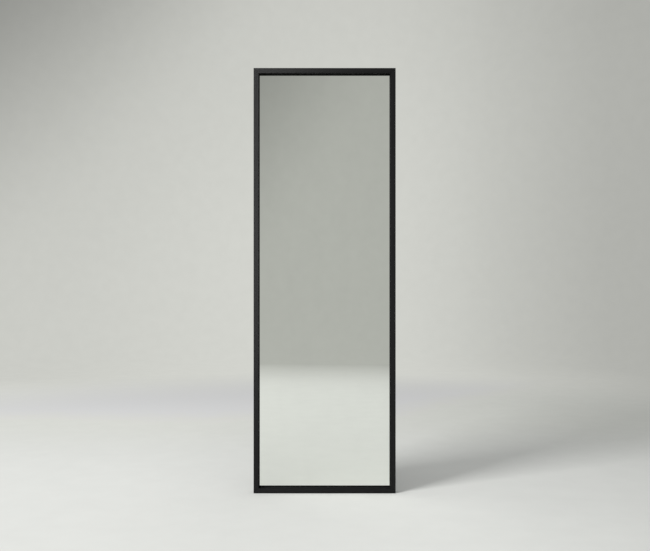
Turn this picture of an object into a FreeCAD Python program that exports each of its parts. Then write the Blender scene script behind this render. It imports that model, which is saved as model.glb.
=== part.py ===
import FreeCAD, Part
import math
import os

import Sketcher
from FreeCAD import Placement, Rotation, Vector

# A framed mirror that pulls out of a wardrobe on two ball-bearing slides and then swivels to face the room.
# +X is the pull-out direction, +Z is up and the mirror faces -Y. The origin is the centre of the screw
# pattern, on the wardrobe's side panel. Lengths are in millimetres, angles in degrees.
# Everything is drawn in its stored place: slides closed, mirror parallel to the side panel.

doc = FreeCAD.newDocument("pull_out_mirror")

# ---------------------------------------------------------------------------------------------- sizes

SIZES = [
    # framed mirror
    ("panel_width", 334, "frame, over all"),
    ("panel_height", 1000, "frame, over all"),
    ("frame_depth", 26, "frame, front to back"),
    ("stile_face", 12, "width of an upright member"),
    ("rail_face", 12, "width of a top or bottom member"),
    ("frame_wall", 1.4, "wall of the hollow section"),
    ("chamber_depth", 10.2, "front chamber, which takes the corner keys"),
    ("groove_reach", 6.5, "depth of the glazing groove"),
    ("lip_depth", 3.3, "solid rear lip, which takes the screws"),
    ("arris_radius", 0.5, "rounding of the section's long edges"),
    ("gasket_thick", 1, "gasket, front to back"),
    ("gasket_reveal", 1.5, "gasket shown inside the frame"),
    ("glass_thick", 4, "mirror glass"),
    ("film_thick", 0.3, "safety film"),
    ("foam_thick", 1.2, "foam pad"),
    ("board_thick", 3, "backing board"),
    ("glass_gap", 1.5, "room between glass edge and groove"),
    ("key_leg", 40, "corner key, along each member"),
    ("key_gap", 0.35, "room round a corner key"),
    # slides
    ("slide_length", 300, "closed slide"),
    ("slide_height", 45.7, "slide section, height"),
    ("slide_depth", 12.7, "slide section, depth"),
    ("slide_sheet", 1.2, "steel of the slide members"),
    ("slide_spacing", 512, "from slide to slide"),
    ("hole_spacing", 224, "mounting holes along a slide"),
    ("hole_setback", 37, "front mounting hole to slide front"),
    ("hole_radius", 2.6, "mounting hole"),
    ("access_radius", 4.5, "screwdriver hole in the moving members"),
    ("corner_bend", 1.2, "bend in the members, to mid sheet"),
    ("middle_inset", 0.4, "middle member short of the inner member's face"),
    ("lip_gap", 0.2, "inner member's lip to the cage's web"),
    ("groove_run", 0.6, "straight between the middle member's bend and groove"),
    ("lip_angle", 20, "where a ball groove's lip ends"),
    ("web_rise", 0.23, "outer web's corner above its ball row, to mid sheet"),
    ("web_bend", 2, "bend at that corner, to mid sheet"),
    ("ball_radius", 2, "bearing ball"),
    ("ball_gap", 0.1, "room round a ball"),
    ("ball_pitch", 14, "from ball to ball"),
    ("balls_per_row", 9, "balls in a row"),
    ("cage_sheet", 0.6, "steel of the cages"),
    ("cage_bend", 0.9, "bend in a cage, to mid sheet"),
    ("cage_margin", 9, "last ball to the cage's end"),
    ("cage_web_gap", 0.5, "cage web off the web next to it"),
    ("cage_window", 18, "height of the window in a cage's web"),
    ("cage_lip", 1.6, "outer cage's flange beyond its balls"),
    ("cage_inset", 0.7, "inner cage's flange short of the slide's depth"),
    ("stop_length", 7, "end stop along the slide"),
    ("stop_inset", 6, "end stop below the slide's edges"),
    ("stop_shortfall", 2, "end stop short of the slide's depth"),
    ("stop_gap", 1, "end stop to the closed moving members"),
    ("rivet_radius", 1.6, "end stop's rivet"),
    ("rivet_head_rise", 1.2, "its head"),
    # carriage
    ("post_sheet", 2, "steel of the post"),
    ("post_width", 28, "post over its flanges"),
    ("post_flange", 14, "post flange, from the slides outwards"),
    ("post_bend", 2, "bend in the post, to mid sheet"),
    ("post_overrun", 50, "post beyond a slide's centre"),
    ("post_setback", 7, "post behind the slide front"),
    ("bolt_offset", 5.5, "screws each side of the post's middle"),
    ("bolt_inset", 5.5, "bracket bolts from the post's end"),
    ("bracket_sheet", 3, "steel of the pivot brackets"),
    ("bracket_leg", 35, "bracket leg, over all"),
    ("leg_gap", 0.2, "leg to the bends of the post"),
    ("bracket_bend", 3, "bend in a bracket, to mid sheet"),
    ("tab_gap", 6, "bracket tab beyond the post's end"),
    ("neck_width", 9.5, "tab's neck beside the post"),
    ("eye_radius", 7, "round end of tab and ear"),
    ("pivot_lead", 3, "pivot beyond the slide front"),
    ("pin_radius", 4, "pivot pin"),
    ("pin_fit", 0.05, "running clearance of the pin in its bush"),
    ("pin_length", 16.5, "pin above the tab's underside"),
    ("bush_wall", 0.95, "wall of the nylon bush"),
    ("bush_flange", 1.5, "flange of the bush"),
    ("bush_proud", 0.3, "bush above the ear"),
    ("face_gap", 0.1, "play between faces that turn"),
    ("washer_thick", 1.2, "pivot washer"),
    ("washer_radius", 7, "pivot washer"),
    ("swing", 120, "how far the mirror swivels"),
    ("stop_pin_radius", 2, "dowel that ends the swivel"),
    ("stop_pin_reach", 2, "dowel along the ear that meets it"),
    ("stop_pin_gap", 0.3, "dowel to ear when swivelled"),
    ("lug_radius", 4.5, "tab round the dowel"),
    ("catch_inset", 49, "catch from the trailing edge"),
    ("catch_seat", 33, "catch from the slide's rear, at least"),
    ("housing_length", 30, "magnet housing along the slide"),
    ("housing_height", 16, "magnet housing"),
    ("housing_base", 2.5, "thickness of its screwed base"),
    ("housing_wing", 9, "base beyond the housing"),
    ("housing_round", 3, "corners of the housing"),
    ("magnet_radius", 6, "catch magnet"),
    ("magnet_thick", 3, "catch magnet"),
    ("strike_radius", 8, "steel disc on the backing board"),
    ("strike_thick", 1.5, "steel disc"),
    ("catch_gap", 0.3, "magnet to disc"),
    # cross strips
    ("strip_sheet", 2, "steel of the cross strips"),
    ("strip_height", 40, "cross strip"),
    ("strip_end_gap", 2, "strip's end to the frame's edge"),
    ("strip_step", 2, "ear beyond the strip's edge"),
    ("strip_gap", 1.3, "strip to the round end of the tab"),
    ("strip_bend", 2, "bend of an ear, to mid sheet"),
    ("strip_screw_inset", 6, "screws from the frame's edge"),
    ("strip_screw_rise", 12, "screws each side of the strip's middle"),
    ("pivot_overhang", 15, "frame beyond the pivot"),
    # fasteners
    ("small_shank", 2, "M4 screw, radius"),
    ("small_head", 4, "M4 pan head, radius"),
    ("small_head_rise", 2.6, "M4 pan head, height"),
    ("small_length", 4.5, "M4 screw under its head"),
    ("bolt_shank", 2.5, "M5 bolt, radius"),
    ("bolt_head", 4.6, "M5 pan head, radius"),
    ("bolt_head_rise", 3.2, "M5 pan head, height"),
    ("bolt_length", 9.6, "M5 bolt under its head"),
    ("bolt_nut_radius", 4.6, "M5 nut over its corners"),
    ("bolt_nut_height", 4, "M5 nut"),
    ("pivot_nut_radius", 7.5, "M8 nut over its corners"),
    ("pivot_nut_height", 6.8, "M8 nut with its collar"),
    ("collar_rise", 1.8, "M8 nut's locking collar"),
    ("pivot_head", 6.5, "pivot pin's head, radius"),
    ("pivot_head_rise", 5, "pivot pin's head"),
    ("thread_gap", 0.05, "room round a shank"),
    ("broken_edge", 0.4, "chamfer on turned pieces"),
]

PLACES = [
    ("half_width", "Sizes.panel_width / 2", "frame's half width"),
    ("half_height", "Sizes.panel_height / 2", "frame's half height"),
    ("groove_front", "Sizes.chamber_depth + 2 * Sizes.frame_wall", "groove from the frame's front"),
    ("groove_back", "Sizes.frame_depth - Sizes.lip_depth", "rear lip from the frame's front"),
    ("sight_x", "half_width - Sizes.stile_face", "opening's half width"),
    ("sight_z", "half_height - Sizes.rail_face", "opening's half height"),
    ("pack_x", "sight_x + Sizes.groove_reach - Sizes.glass_gap", "glass half width"),
    ("pack_z", "sight_z + Sizes.groove_reach - Sizes.glass_gap", "glass half height"),
    ("slide_front", "Sizes.hole_spacing / 2 + Sizes.hole_setback", "front of the closed slides"),
    ("slide_rear", "slide_front - Sizes.slide_length", "rear of the closed slides"),
    ("member_rear", "slide_rear + Sizes.stop_length + Sizes.stop_gap", "rear of the moving members"),
    ("member_length", "slide_front - member_rear", "moving members"),
    ("slide_z", "Sizes.slide_spacing / 2", "slide centre above the origin"),
    ("half_sheet", "Sizes.slide_sheet / 2", "half the steel of a slide member"),
    ("groove", "Sizes.ball_radius + Sizes.ball_gap + half_sheet", "ball groove's radius, to mid sheet"),
    ("groove_side", "groove + half_sheet", "ball row to the far face of its groove"),
    ("inner_row_depth", "Sizes.slide_depth - Sizes.middle_inset - groove_side", "inner ball row"),
    ("inner_cage_depth",
     "inner_row_depth - groove_side - Sizes.lip_gap - Sizes.cage_sheet", "back of the inner cage's web"),
    ("middle_web_depth",
     "inner_cage_depth - Sizes.cage_web_gap - Sizes.slide_sheet", "back of the middle member's web"),
    ("outer_row_depth",
     "middle_web_depth + half_sheet + Sizes.corner_bend + Sizes.groove_run", "outer ball row"),
    ("outer_cage_depth", "Sizes.slide_sheet + Sizes.cage_web_gap", "back of the outer cage's web"),
    ("row_lean", "acos((inner_row_depth - outer_row_depth) / (2 * groove))", "slope from row to row"),
    ("web_lean",
     "asin(groove / hypot(outer_row_depth - half_sheet; Sizes.web_rise))"
     " - atan(Sizes.web_rise / (outer_row_depth - half_sheet))", "slope from the outer web to its groove"),
    ("cage_length", "(Sizes.balls_per_row - 1) * Sizes.ball_pitch + 2 * Sizes.cage_margin", "cage"),
    ("cage_rear", "(slide_front + member_rear) / 2 - cage_length / 2", "rear of the closed cages"),
    ("post_front", "slide_front - Sizes.post_setback", "front of the post"),
    ("post_x", "post_front - Sizes.post_width / 2", "middle of the post"),
    ("post_end", "slide_z + Sizes.post_overrun", "end of the post above the origin"),
    ("post_inner_y", "-(Sizes.slide_depth + Sizes.post_sheet)", "front of the post's web"),
    ("leg_half",
     "Sizes.post_width / 2 - Sizes.post_sheet - Sizes.post_bend / 2 - Sizes.leg_gap",
     "bracket leg's half width"),
    ("tab_far", "post_end + Sizes.tab_gap + Sizes.bracket_sheet", "outer face of a bracket tab"),
    ("tab_upper", "tab_far - Sizes.bracket_sheet", "underside of the upper tab"),
    ("tab_lower", "-tab_far", "underside of the lower tab"),
    ("pivot_x", "slide_front + Sizes.pivot_lead", "pivot axis"),
    ("pivot_y", "post_inner_y - Sizes.eye_radius", "pivot axis"),
    ("strip_back_y", "pivot_y - Sizes.eye_radius - Sizes.strip_gap", "strips' face to the slides"),
    ("panel_back_y", "strip_back_y - Sizes.strip_sheet", "back of the frame"),
    ("panel_front_y", "panel_back_y - Sizes.frame_depth", "front of the frame"),
    ("panel_x", "pivot_x + Sizes.pivot_overhang - half_width", "middle of the frame"),
    ("gasket_y", "panel_front_y + groove_front", "front of the gasket"),
    ("glass_y", "gasket_y + Sizes.gasket_thick", "front of the glass"),
    ("film_y", "glass_y + Sizes.glass_thick", "front of the safety film"),
    ("foam_y", "film_y + Sizes.film_thick", "front of the foam pad"),
    ("board_y", "foam_y + Sizes.foam_thick", "front of the backing board"),
    ("strike_y", "board_y + Sizes.board_thick", "front of the strike plates"),
    ("housing_y", "strike_y + Sizes.strike_thick + Sizes.catch_gap", "front of the magnet housings"),
    ("housing_depth", "-Sizes.slide_depth - housing_y", "magnet housing, front to back"),
    ("catch_x", "max(panel_x - half_width + Sizes.catch_inset; slide_rear + Sizes.catch_seat)", "catch"),
    ("wing_x", "(Sizes.housing_length + Sizes.housing_wing) / 2", "catch screws from the catch's middle"),
    ("ear_above_tab", "Sizes.bracket_sheet + Sizes.face_gap + Sizes.bush_flange", "tab's underside to ear"),
    ("washer_above_tab", "ear_above_tab + Sizes.strip_sheet + Sizes.bush_proud + Sizes.face_gap", "washer"),
    ("nut_above_tab", "washer_above_tab + Sizes.washer_thick", "nut"),
    ("bush_radius", "Sizes.pin_radius + Sizes.pin_fit + Sizes.bush_wall", "bush, outside"),
    ("stop_front", "Sizes.slide_depth - Sizes.stop_shortfall", "end stop, off the side panel"),
    ("bolt_z", "post_end - Sizes.bolt_inset", "bracket bolts above the origin"),
    ("stop_offset", "Sizes.eye_radius + Sizes.stop_pin_radius + Sizes.stop_pin_gap", "dowel to ear line"),
    ("stop_x",
     "pivot_x + Sizes.stop_pin_reach * sin(Sizes.swing) + stop_offset * cos(Sizes.swing)", "dowel"),
    ("stop_y",
     "pivot_y - Sizes.stop_pin_reach * cos(Sizes.swing) + stop_offset * sin(Sizes.swing)", "dowel"),
]


def make_sheet(name, rows):
    """A spreadsheet with one note, one value and one alias in each row."""
    sheet = doc.addObject("Spreadsheet::Sheet", name)
    for row, (alias, content, note) in enumerate(rows, 1):
        sheet.set(f"A{row}", note)
        sheet.set(f"B{row}", str(content))
        sheet.setAlias(f"B{row}", alias)
    return sheet


sizes = make_sheet("Sizes", SIZES)
make_sheet("Places", [(alias, f"={formula}", note) for alias, formula, note in PLACES])
doc.recompute()


def num(expression):
    """The number that an expression on the two sheets gives now."""
    return float(sizes.evalExpression(expression))


# -------------------------------------------------------------------------------------------- drawing

TOP, FRONT, SIDE = "XY_Plane", "XZ_Plane", "YZ_Plane"
FACING_PANEL = Rotation(Vector(1, 0, 0), 90)  # turns a fastener's head from +Z to -Y
FACING_WALL = Rotation(Vector(1, 0, 0), -90)  # turns a fastener's head from +Z to +Y
FASTENER_HOLE = "Sizes.small_shank + Sizes.thread_gap"
BOLT_HOLE = "Sizes.bolt_shank + Sizes.thread_gap"
PIN_HOLE = "Sizes.pin_radius + Sizes.thread_gap"
OVERSHOOT = 2  # how far a cutting sketch reaches past the solid
sub_parts = []


def new_body(label, x="0", y="0", z="0", rotation=None, kept=True):
    """An empty body at a place given by expressions. A kept body becomes a file."""
    body = doc.addObject("PartDesign::Body", label)
    body.Label = label
    if rotation:
        body.Placement = Placement(Vector(), rotation)
    for axis, expression in zip("xyz", (x, y, z)):
        body.setExpression(f"Placement.Base.{axis}", expression)
    if kept:
        sub_parts.append(body)
    return body


def new_sketch(body, plane, lift="0"):
    """A sketch on one of the body's origin planes, lifted from it along +X, +Y or +Z."""
    sketch = body.newObject("Sketcher::SketchObject", f"{body.Name}_sketch")
    origin_plane = next(item for item in body.Origin.OriginFeatures if item.Role == plane)
    sketch.AttachmentSupport = [(origin_plane, "")]
    sketch.MapMode = "FlatFace"
    offset = f"-({lift})" if plane == FRONT else lift
    sketch.setExpression("AttachmentOffset.Base.z", offset)
    return sketch


def draw_polygon(sketch, corners):
    """A closed outline of straight edges, each corner held by two expressions."""
    points = [Vector(num(across), num(along), 0) for across, along in corners]
    first = sketch.GeometryCount
    for here, there in zip(points, points[1:] + points[:1]):
        sketch.addGeometry(Part.LineSegment(here, there))
    for index, (corner, point) in enumerate(zip(corners, points)):
        line = first + index
        after = first + (index + 1) % len(points)
        sketch.addConstraint(Sketcher.Constraint("Coincident", line, 2, after, 1))
        for kind, expression, amount in zip(("DistanceX", "DistanceY"), corner, point):
            number = sketch.addConstraint(Sketcher.Constraint(kind, -1, 1, line, 1, amount))
            sketch.setExpression(f"Constraints[{number}]", expression)


def draw_rectangle(sketch, left, bottom, right, top):
    draw_polygon(sketch, [(left, bottom), (right, bottom), (right, top), (left, top)])


def draw_circle(sketch, across, along, radius):
    """A circle held by its centre and radius."""
    centre = Vector(num(across), num(along), 0)
    circle = sketch.addGeometry(Part.Circle(centre, Vector(0, 0, 1), num(radius)))
    for kind, expression, amount in (("DistanceX", across, centre.x), ("DistanceY", along, centre.y)):
        number = sketch.addConstraint(Sketcher.Constraint(kind, -1, 1, circle, 3, amount))
        sketch.setExpression(f"Constraints[{number}]", expression)
    number = sketch.addConstraint(Sketcher.Constraint("Radius", circle, num(radius)))
    sketch.setExpression(f"Constraints[{number}]", radius)


def draw_edges(sketch, edges, to_sketch):
    """Straight and round edges, given by two or three points each, put through a mapping."""
    for edge in edges:
        points = [to_sketch(*point) for point in edge]
        sketch.addGeometry(Part.Arc(*points) if len(points) == 3 else Part.LineSegment(*points))


def pad(body, sketch, length, both_ways=False, backwards=False):
    feature = body.newObject("PartDesign::Pad", f"{sketch.Name}_pad")
    feature.Profile = sketch
    feature.setExpression("Length", length)
    feature.SideType = "Symmetric" if both_ways else "One side"
    feature.Reversed = backwards
    doc.recompute()
    return feature


def check_cut(body, before, feature):
    if not body.Shape.Volume < before - 1e-6:
        raise RuntimeError(f"{feature.Name} cuts nothing")


def pocket(body, sketch, depth=None, backwards=False):
    """Cut a sketch out of a body, to a depth or, with none, right through both ways."""
    before = body.Shape.Volume
    feature = body.newObject("PartDesign::Pocket", f"{sketch.Name}_pocket")
    feature.Profile = sketch
    feature.Reversed = backwards
    if depth:
        feature.setExpression("Length", depth)
    else:
        feature.Type = "ThroughAll"
        feature.SideType = "Symmetric"
    doc.recompute()
    check_cut(body, before, feature)


def revolve(body, outline):
    """Turn an outline of (radius, height) expressions about the body's Z axis."""
    sketch = new_sketch(body, FRONT)
    draw_polygon(sketch, outline)
    feature = body.newObject("PartDesign::Revolution", f"{sketch.Name}_turned")
    feature.Profile = sketch
    feature.ReferenceAxis = (sketch, ["V_Axis"])
    feature.Angle = 360
    doc.recompute()


def turned_disc(radius, height):
    """The outline of a disc or dowel with a chamfered upper rim."""
    shoulder, land = f"{height} - Sizes.broken_edge", f"{radius} - Sizes.broken_edge"
    return [("0", "0"), (radius, "0"), (radius, shoulder), (land, height), ("0", height)]


def round_edges(body, feature, wanted, radius):
    """Fillet the edges of a feature whose two ends satisfy a test."""
    names = []
    for index, edge in enumerate(feature.Shape.Edges, 1):
        if wanted(edge.Vertexes[0].Point, edge.Vertexes[-1].Point):
            names.append(f"Edge{index}")
    if not names:
        raise RuntimeError(f"{feature.Name} has no such edge")
    fillet = body.newObject("PartDesign::Fillet", f"{feature.Name}_round")
    fillet.Base = (feature, names)
    fillet.setExpression("Radius", radius)
    doc.recompute()


def copies(label, master, placements):
    """One node with a copy of a shape at each placement, as separate solids."""
    solids = []
    for placement in placements:
        solid = master.copy()
        solid.Placement = placement.multiply(solid.Placement)
        solids.append(solid)
    group = doc.addObject("Part::Feature", label)
    group.Label = label
    group.Shape = Part.makeCompound(solids)
    sub_parts.append(group)


def spot(x, y, z, rotation=Rotation()):
    return Placement(Vector(x, y, z), rotation)


# ---------------------------------------------------------------------------------------- bent strips

def run(length):
    return "run", length, 0


def turn(angle, radius):
    return "turn", angle, radius


def side_point(point, heading, offset):
    """The point beside a centre line, at an offset to its left."""
    return (point[0] - offset * math.sin(heading), point[1] + offset * math.cos(heading))


def walk(point, heading, moves):
    """Follow moves from a point. Gives the stations of each move, and the end."""
    stations = []
    for kind, amount, radius in moves:
        if kind == "run":
            end = (point[0] + amount * math.cos(heading), point[1] + amount * math.sin(heading))
            stations.append([(point, heading), (end, heading)])
            point = end
            continue
        bend = math.radians(amount)
        reach = math.copysign(radius, bend)
        centre = side_point(point, heading, reach)
        headings = (heading, heading + bend / 2, heading + bend)
        stations.append([(side_point(centre, each, -reach), each) for each in headings])
        point, heading = stations[-1][-1]
    return stations, point, heading


def strip_edges(point, heading, moves, sheet):
    """The closed outline of sheet metal that follows a centre line."""
    stations, _, _ = walk(point, heading, moves)
    left = [[side_point(*station, sheet / 2) for station in move] for move in stations]
    right = [[side_point(*station, -sheet / 2) for station in move][::-1] for move in stations][::-1]
    return left + [[left[-1][-1], right[0][0]]] + right + [[right[-1][-1], left[0][0]]]


def symmetric_strip(depth, half_moves, sheet):
    """A strip that is the same each side of its web's middle. Half of it starts at (depth, 0)."""
    _, end, heading = walk((depth, 0), math.pi / 2, half_moves)
    moves = half_moves[::-1] + half_moves
    return strip_edges((end[0], -end[1]), math.pi - heading, moves, sheet)


def to_side_plane(depth, across):
    return Vector(-depth, across, 0)


def to_top_plane(depth, across):
    return Vector(across, -depth, 0)


# -------------------------------------------------------------------------------------- framed mirror

def frame_member(label, length, face, other_face, x, z, angle):
    """A mitred hollow section with a glazing groove. It runs along Z, and its outer face is at x = 0."""
    body = new_body(label, x, "Places.panel_front_y", z, Rotation(Vector(0, 1, 0), angle))
    wall = "Sizes.frame_wall"
    groove = f"{face} - Sizes.groove_reach"
    profile = new_sketch(body, TOP)
    draw_polygon(profile, [
        ("0", "0"),
        (face, "0"),
        (face, "Places.groove_front"),
        (groove, "Places.groove_front"),
        (groove, "Places.groove_back"),
        (face, "Places.groove_back"),
        (face, "Sizes.frame_depth"),
        ("0", "Sizes.frame_depth"),
    ])
    draw_rectangle(profile, wall, wall, f"{face} - {wall}", f"{wall} + Sizes.chamber_depth")
    draw_rectangle(profile, wall, "Places.groove_front", f"{groove} - {wall}", "Places.groove_back")
    bar = pad(body, profile, length, both_ways=True)
    arrises = [(0, 0), (num(face), 0), (0, num("Sizes.frame_depth"))]

    def is_arris(start, end):
        beside = any(math.hypot(start.x - x, start.y - y) < 1e-6 for x, y in arrises)
        return beside and abs(start.z - end.z) > 1

    round_edges(body, bar, is_arris, "Sizes.arris_radius")
    for sign in ("", "-"):
        tip = f"{sign}({length} / 2)"
        inner = f"{sign}({length} / 2 - {other_face})"
        beyond = f"{sign}({length} / 2 + {OVERSHOOT})"
        mitre = new_sketch(body, FRONT)
        outside = f"{face} + {OVERSHOOT}"
        draw_polygon(mitre, [("0", tip), (face, inner), (outside, inner), (outside, beyond), ("0", beyond)])
        pocket(body, mitre)
    return body


def stile(label, side):
    """An upright member, at side -1 or 1, with holes in its rear lip for the cross strips' screws."""
    x = f"Places.panel_x + {side} * Places.half_width"
    angle = 0 if side < 0 else 180
    body = frame_member(label, "Sizes.panel_height", "Sizes.stile_face", "Sizes.rail_face", x, "0", angle)
    holes = new_sketch(body, FRONT, "Sizes.frame_depth")
    for level in strip_screw_levels():
        draw_circle(holes, "Sizes.strip_screw_inset", f"{-side} * ({level})", FASTENER_HOLE)
    pocket(body, holes, "Sizes.lip_depth", backwards=True)


def rail(label, side):
    """A level member at the top, side 1, or the bottom, side -1."""
    z = f"{side} * Places.half_height"
    length = "Sizes.panel_width"
    frame_member(label, length, "Sizes.rail_face", "Sizes.stile_face", "Places.panel_x", z, 90 * side)


def corner_keys():
    """Four L-shaped keys in the front chambers, one leg in each member."""
    body = new_body("corner_key", kept=False)
    start = "(Sizes.frame_wall + Sizes.key_gap)"
    across_stile = f"Sizes.stile_face - {start}"
    across_rail = f"Sizes.rail_face - {start}"
    outline = new_sketch(body, FRONT)
    draw_polygon(outline, [
        (start, f"-{start}"),
        ("Sizes.key_leg", f"-{start}"),
        ("Sizes.key_leg", f"-({across_rail})"),
        (across_stile, f"-({across_rail})"),
        (across_stile, "-Sizes.key_leg"),
        (start, "-Sizes.key_leg"),
    ])
    pad(body, outline, "Sizes.chamber_depth - 2 * Sizes.key_gap", both_ways=True)
    width, height, x = num("Places.half_width"), num("Places.half_height"), num("Places.panel_x")
    y = num("Places.panel_front_y + Sizes.frame_wall + Sizes.chamber_depth / 2")
    half_turns = {
        (-1, 1): Rotation(),
        (1, 1): Rotation(Vector(0, 0, 1), 180),
        (1, -1): Rotation(Vector(0, 1, 0), 180),
        (-1, -1): Rotation(Vector(1, 0, 0), 180),
    }
    spots = [spot(x + side * width, y, up * height, half) for (side, up), half in half_turns.items()]
    copies("corner_keys", body.Shape, spots)


def gasket(label, corners):
    """A flat strip with mitred ends that stands a little inside the frame's opening."""
    body = new_body(label, "Places.panel_x", "Places.gasket_y")
    outline = new_sketch(body, FRONT)
    draw_polygon(outline, corners)
    pad(body, outline, "Sizes.gasket_thick", backwards=True)


def gaskets():
    """Four gaskets, mitred at the corners."""
    out_x, out_z = "Places.pack_x", "Places.pack_z"
    in_x, in_z = "(Places.sight_x - Sizes.gasket_reveal)", "(Places.sight_z - Sizes.gasket_reveal)"
    for label, side in (("gasket_left", "-"), ("gasket_right", "")):
        outer, inner = f"{side}{out_x}", f"{side}{in_x}"
        gasket(label, [(outer, f"-{out_z}"), (inner, f"-{in_z}"), (inner, in_z), (outer, out_z)])
    for label, side in (("gasket_top", ""), ("gasket_bottom", "-")):
        outer, inner = f"{side}{out_z}", f"{side}{in_z}"
        gasket(label, [(f"-{out_x}", outer), (f"-{in_x}", inner), (in_x, inner), (out_x, outer)])


def sheet_in_groove(label, y, thickness):
    """A flat sheet as large as the groove takes."""
    body = new_body(label, "Places.panel_x", y)
    outline = new_sketch(body, FRONT)
    draw_rectangle(outline, "-Places.pack_x", "-Places.pack_z", "Places.pack_x", "Places.pack_z")
    pad(body, outline, thickness, backwards=True)


# --------------------------------------------------------------------------------------- cross strips

def strip_middle(end):
    """The height of a cross strip's middle: the upper strip, end 1, hangs below its ear."""
    if end > 0:
        return "Places.tab_upper + Places.ear_above_tab - Sizes.strip_step - Sizes.strip_height / 2"
    return ("Places.tab_lower + Places.ear_above_tab + Sizes.strip_sheet + Sizes.strip_step"
            " + Sizes.strip_height / 2")


def strip_screw_levels():
    return [f"{strip_middle(end)} {sign} Sizes.strip_screw_rise" for end in (1, -1) for sign in "+-"]


def cross_strip(label, end):
    """A strip across the frame's back, with an ear bent towards the pivot at its leading end."""
    body = new_body(label)
    middle = strip_middle(end)
    tab = "Places.tab_upper" if end > 0 else "Places.tab_lower"
    ear = f"{tab} + Places.ear_above_tab"
    reach = "Places.half_width - Sizes.strip_end_gap"
    flat = new_sketch(body, FRONT, "Places.panel_back_y")
    draw_rectangle(flat, f"Places.panel_x - ({reach})", f"{middle} - Sizes.strip_height / 2",
                   f"Places.panel_x + {reach}", f"{middle} + Sizes.strip_height / 2")
    strip = pad(body, flat, "Sizes.strip_sheet", backwards=True)

    def is_corner(start, end):
        at_end = abs(abs(start.x - num("Places.panel_x")) - num(reach)) < 1e-6
        return at_end and abs(start.y - end.y) > 1

    round_edges(body, strip, is_corner, "Sizes.strip_sheet")

    half_sheet = num("Sizes.strip_sheet / 2")
    bend = num("Sizes.strip_bend")
    depth = -num("Places.panel_back_y") - half_sheet
    ear_middle = num(ear) + half_sheet
    root = num(middle)
    arm = -num("Places.pivot_y")
    moves = [run(abs(ear_middle - root) - bend), turn(90, bend), run(depth - bend - arm)]
    section = new_sketch(body, SIDE, "Places.pivot_x - Sizes.eye_radius")
    edges = strip_edges((depth, 0), math.pi / 2, moves, num("Sizes.strip_sheet"))
    draw_edges(section, edges, lambda deep, high: Vector(-deep, root + end * high, 0))
    pad(body, section, "2 * Sizes.eye_radius")

    eye = new_sketch(body, TOP, ear)
    draw_circle(eye, "Places.pivot_x", "Places.pivot_y", "Sizes.eye_radius")
    pad(body, eye, "Sizes.strip_sheet")
    hole = new_sketch(body, TOP)
    draw_circle(hole, "Places.pivot_x", "Places.pivot_y", "Places.bush_radius + Sizes.thread_gap")
    pocket(body, hole)
    screws = new_sketch(body, FRONT)
    inset = "Places.half_width - Sizes.strip_screw_inset"
    for sign in "+-":
        for side in "+-":
            level = f"{middle} {sign} Sizes.strip_screw_rise"
            draw_circle(screws, f"Places.panel_x {side} ({inset})", level, FASTENER_HOLE)
    pocket(body, screws)


def pivot_bush(label, tab):
    """A flanged nylon bush: its flange lies on the tab and its sleeve fills the ear's hole."""
    seat = f"{tab} + Sizes.bracket_sheet + Sizes.face_gap"
    body = new_body(label, "Places.pivot_x", "Places.pivot_y", seat)
    bore = "Sizes.pin_radius + Sizes.pin_fit"
    top = "Sizes.bush_flange + Sizes.strip_sheet + Sizes.bush_proud"
    revolve(body, [
        (bore, "0"),
        ("Sizes.eye_radius", "0"),
        ("Sizes.eye_radius", "Sizes.bush_flange"),
        ("Places.bush_radius", "Sizes.bush_flange"),
        ("Places.bush_radius", top),
        (bore, top),
    ])


def strike_plates():
    """Steel discs on the backing board, opposite the magnets."""
    body = new_body("strike_plate", kept=False)
    revolve(body, turned_disc("Sizes.strike_radius", "Sizes.strike_thick"))
    x, y, z = (num(f"Places.{place}") for place in ("catch_x", "strike_y", "slide_z"))
    copies("strike_plates", body.Shape, [spot(x, y, side * z, FACING_WALL) for side in (1, -1)])


# --------------------------------------------------------------------------------------------- slides

def slide_sections():
    """Centre lines of the slide's parts for one half of the section, from the web's middle outwards.

    A point is (depth from the side panel, height above the slide's middle).
    """
    half_sheet, groove = num("Places.half_sheet"), num("Places.groove")
    bend, lip = num("Sizes.corner_bend"), num("Sizes.lip_angle")
    row_lean, web_lean = num("Places.row_lean"), num("Places.web_lean")
    outer_row = (num("Places.outer_row_depth"), num("Sizes.slide_height / 2 - Places.groove_side"))
    inner_row = (num("Places.inner_row_depth"),
                 outer_row[1] - 2 * groove * math.sin(math.radians(row_lean)))

    slope = math.radians(web_lean)
    slope_length = (outer_row[0] - groove * math.sin(slope) - half_sheet) / math.cos(slope)
    web_bend = num("Sizes.web_bend")
    tangent = web_bend * math.tan((math.pi / 2 - slope) / 2)
    outer = [
        run(outer_row[1] + num("Sizes.web_rise") - tangent),
        turn(-(90 - web_lean), web_bend),
        run(slope_length - tangent),
        turn(-(90 + web_lean - lip), groove),
    ]
    middle_depth = num("Places.middle_web_depth") + half_sheet
    middle = [
        run(outer_row[1] - groove - bend),
        turn(-90, bend),
        run(num("Sizes.groove_run")),
        turn(90 - row_lean, groove),
        turn(-(180 - row_lean - lip), groove),
    ]
    inner_depth = num("Sizes.slide_depth") - half_sheet
    inner = [
        run(inner_row[1] - groove - bend),
        turn(90, bend),
        run(inner_depth - bend - inner_row[0]),
        turn(-(90 - lip), groove),
    ]
    webs = {"outer": (half_sheet, outer), "middle": (middle_depth, middle), "inner": (inner_depth, inner)}
    return outer_row, inner_row, webs


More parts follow.
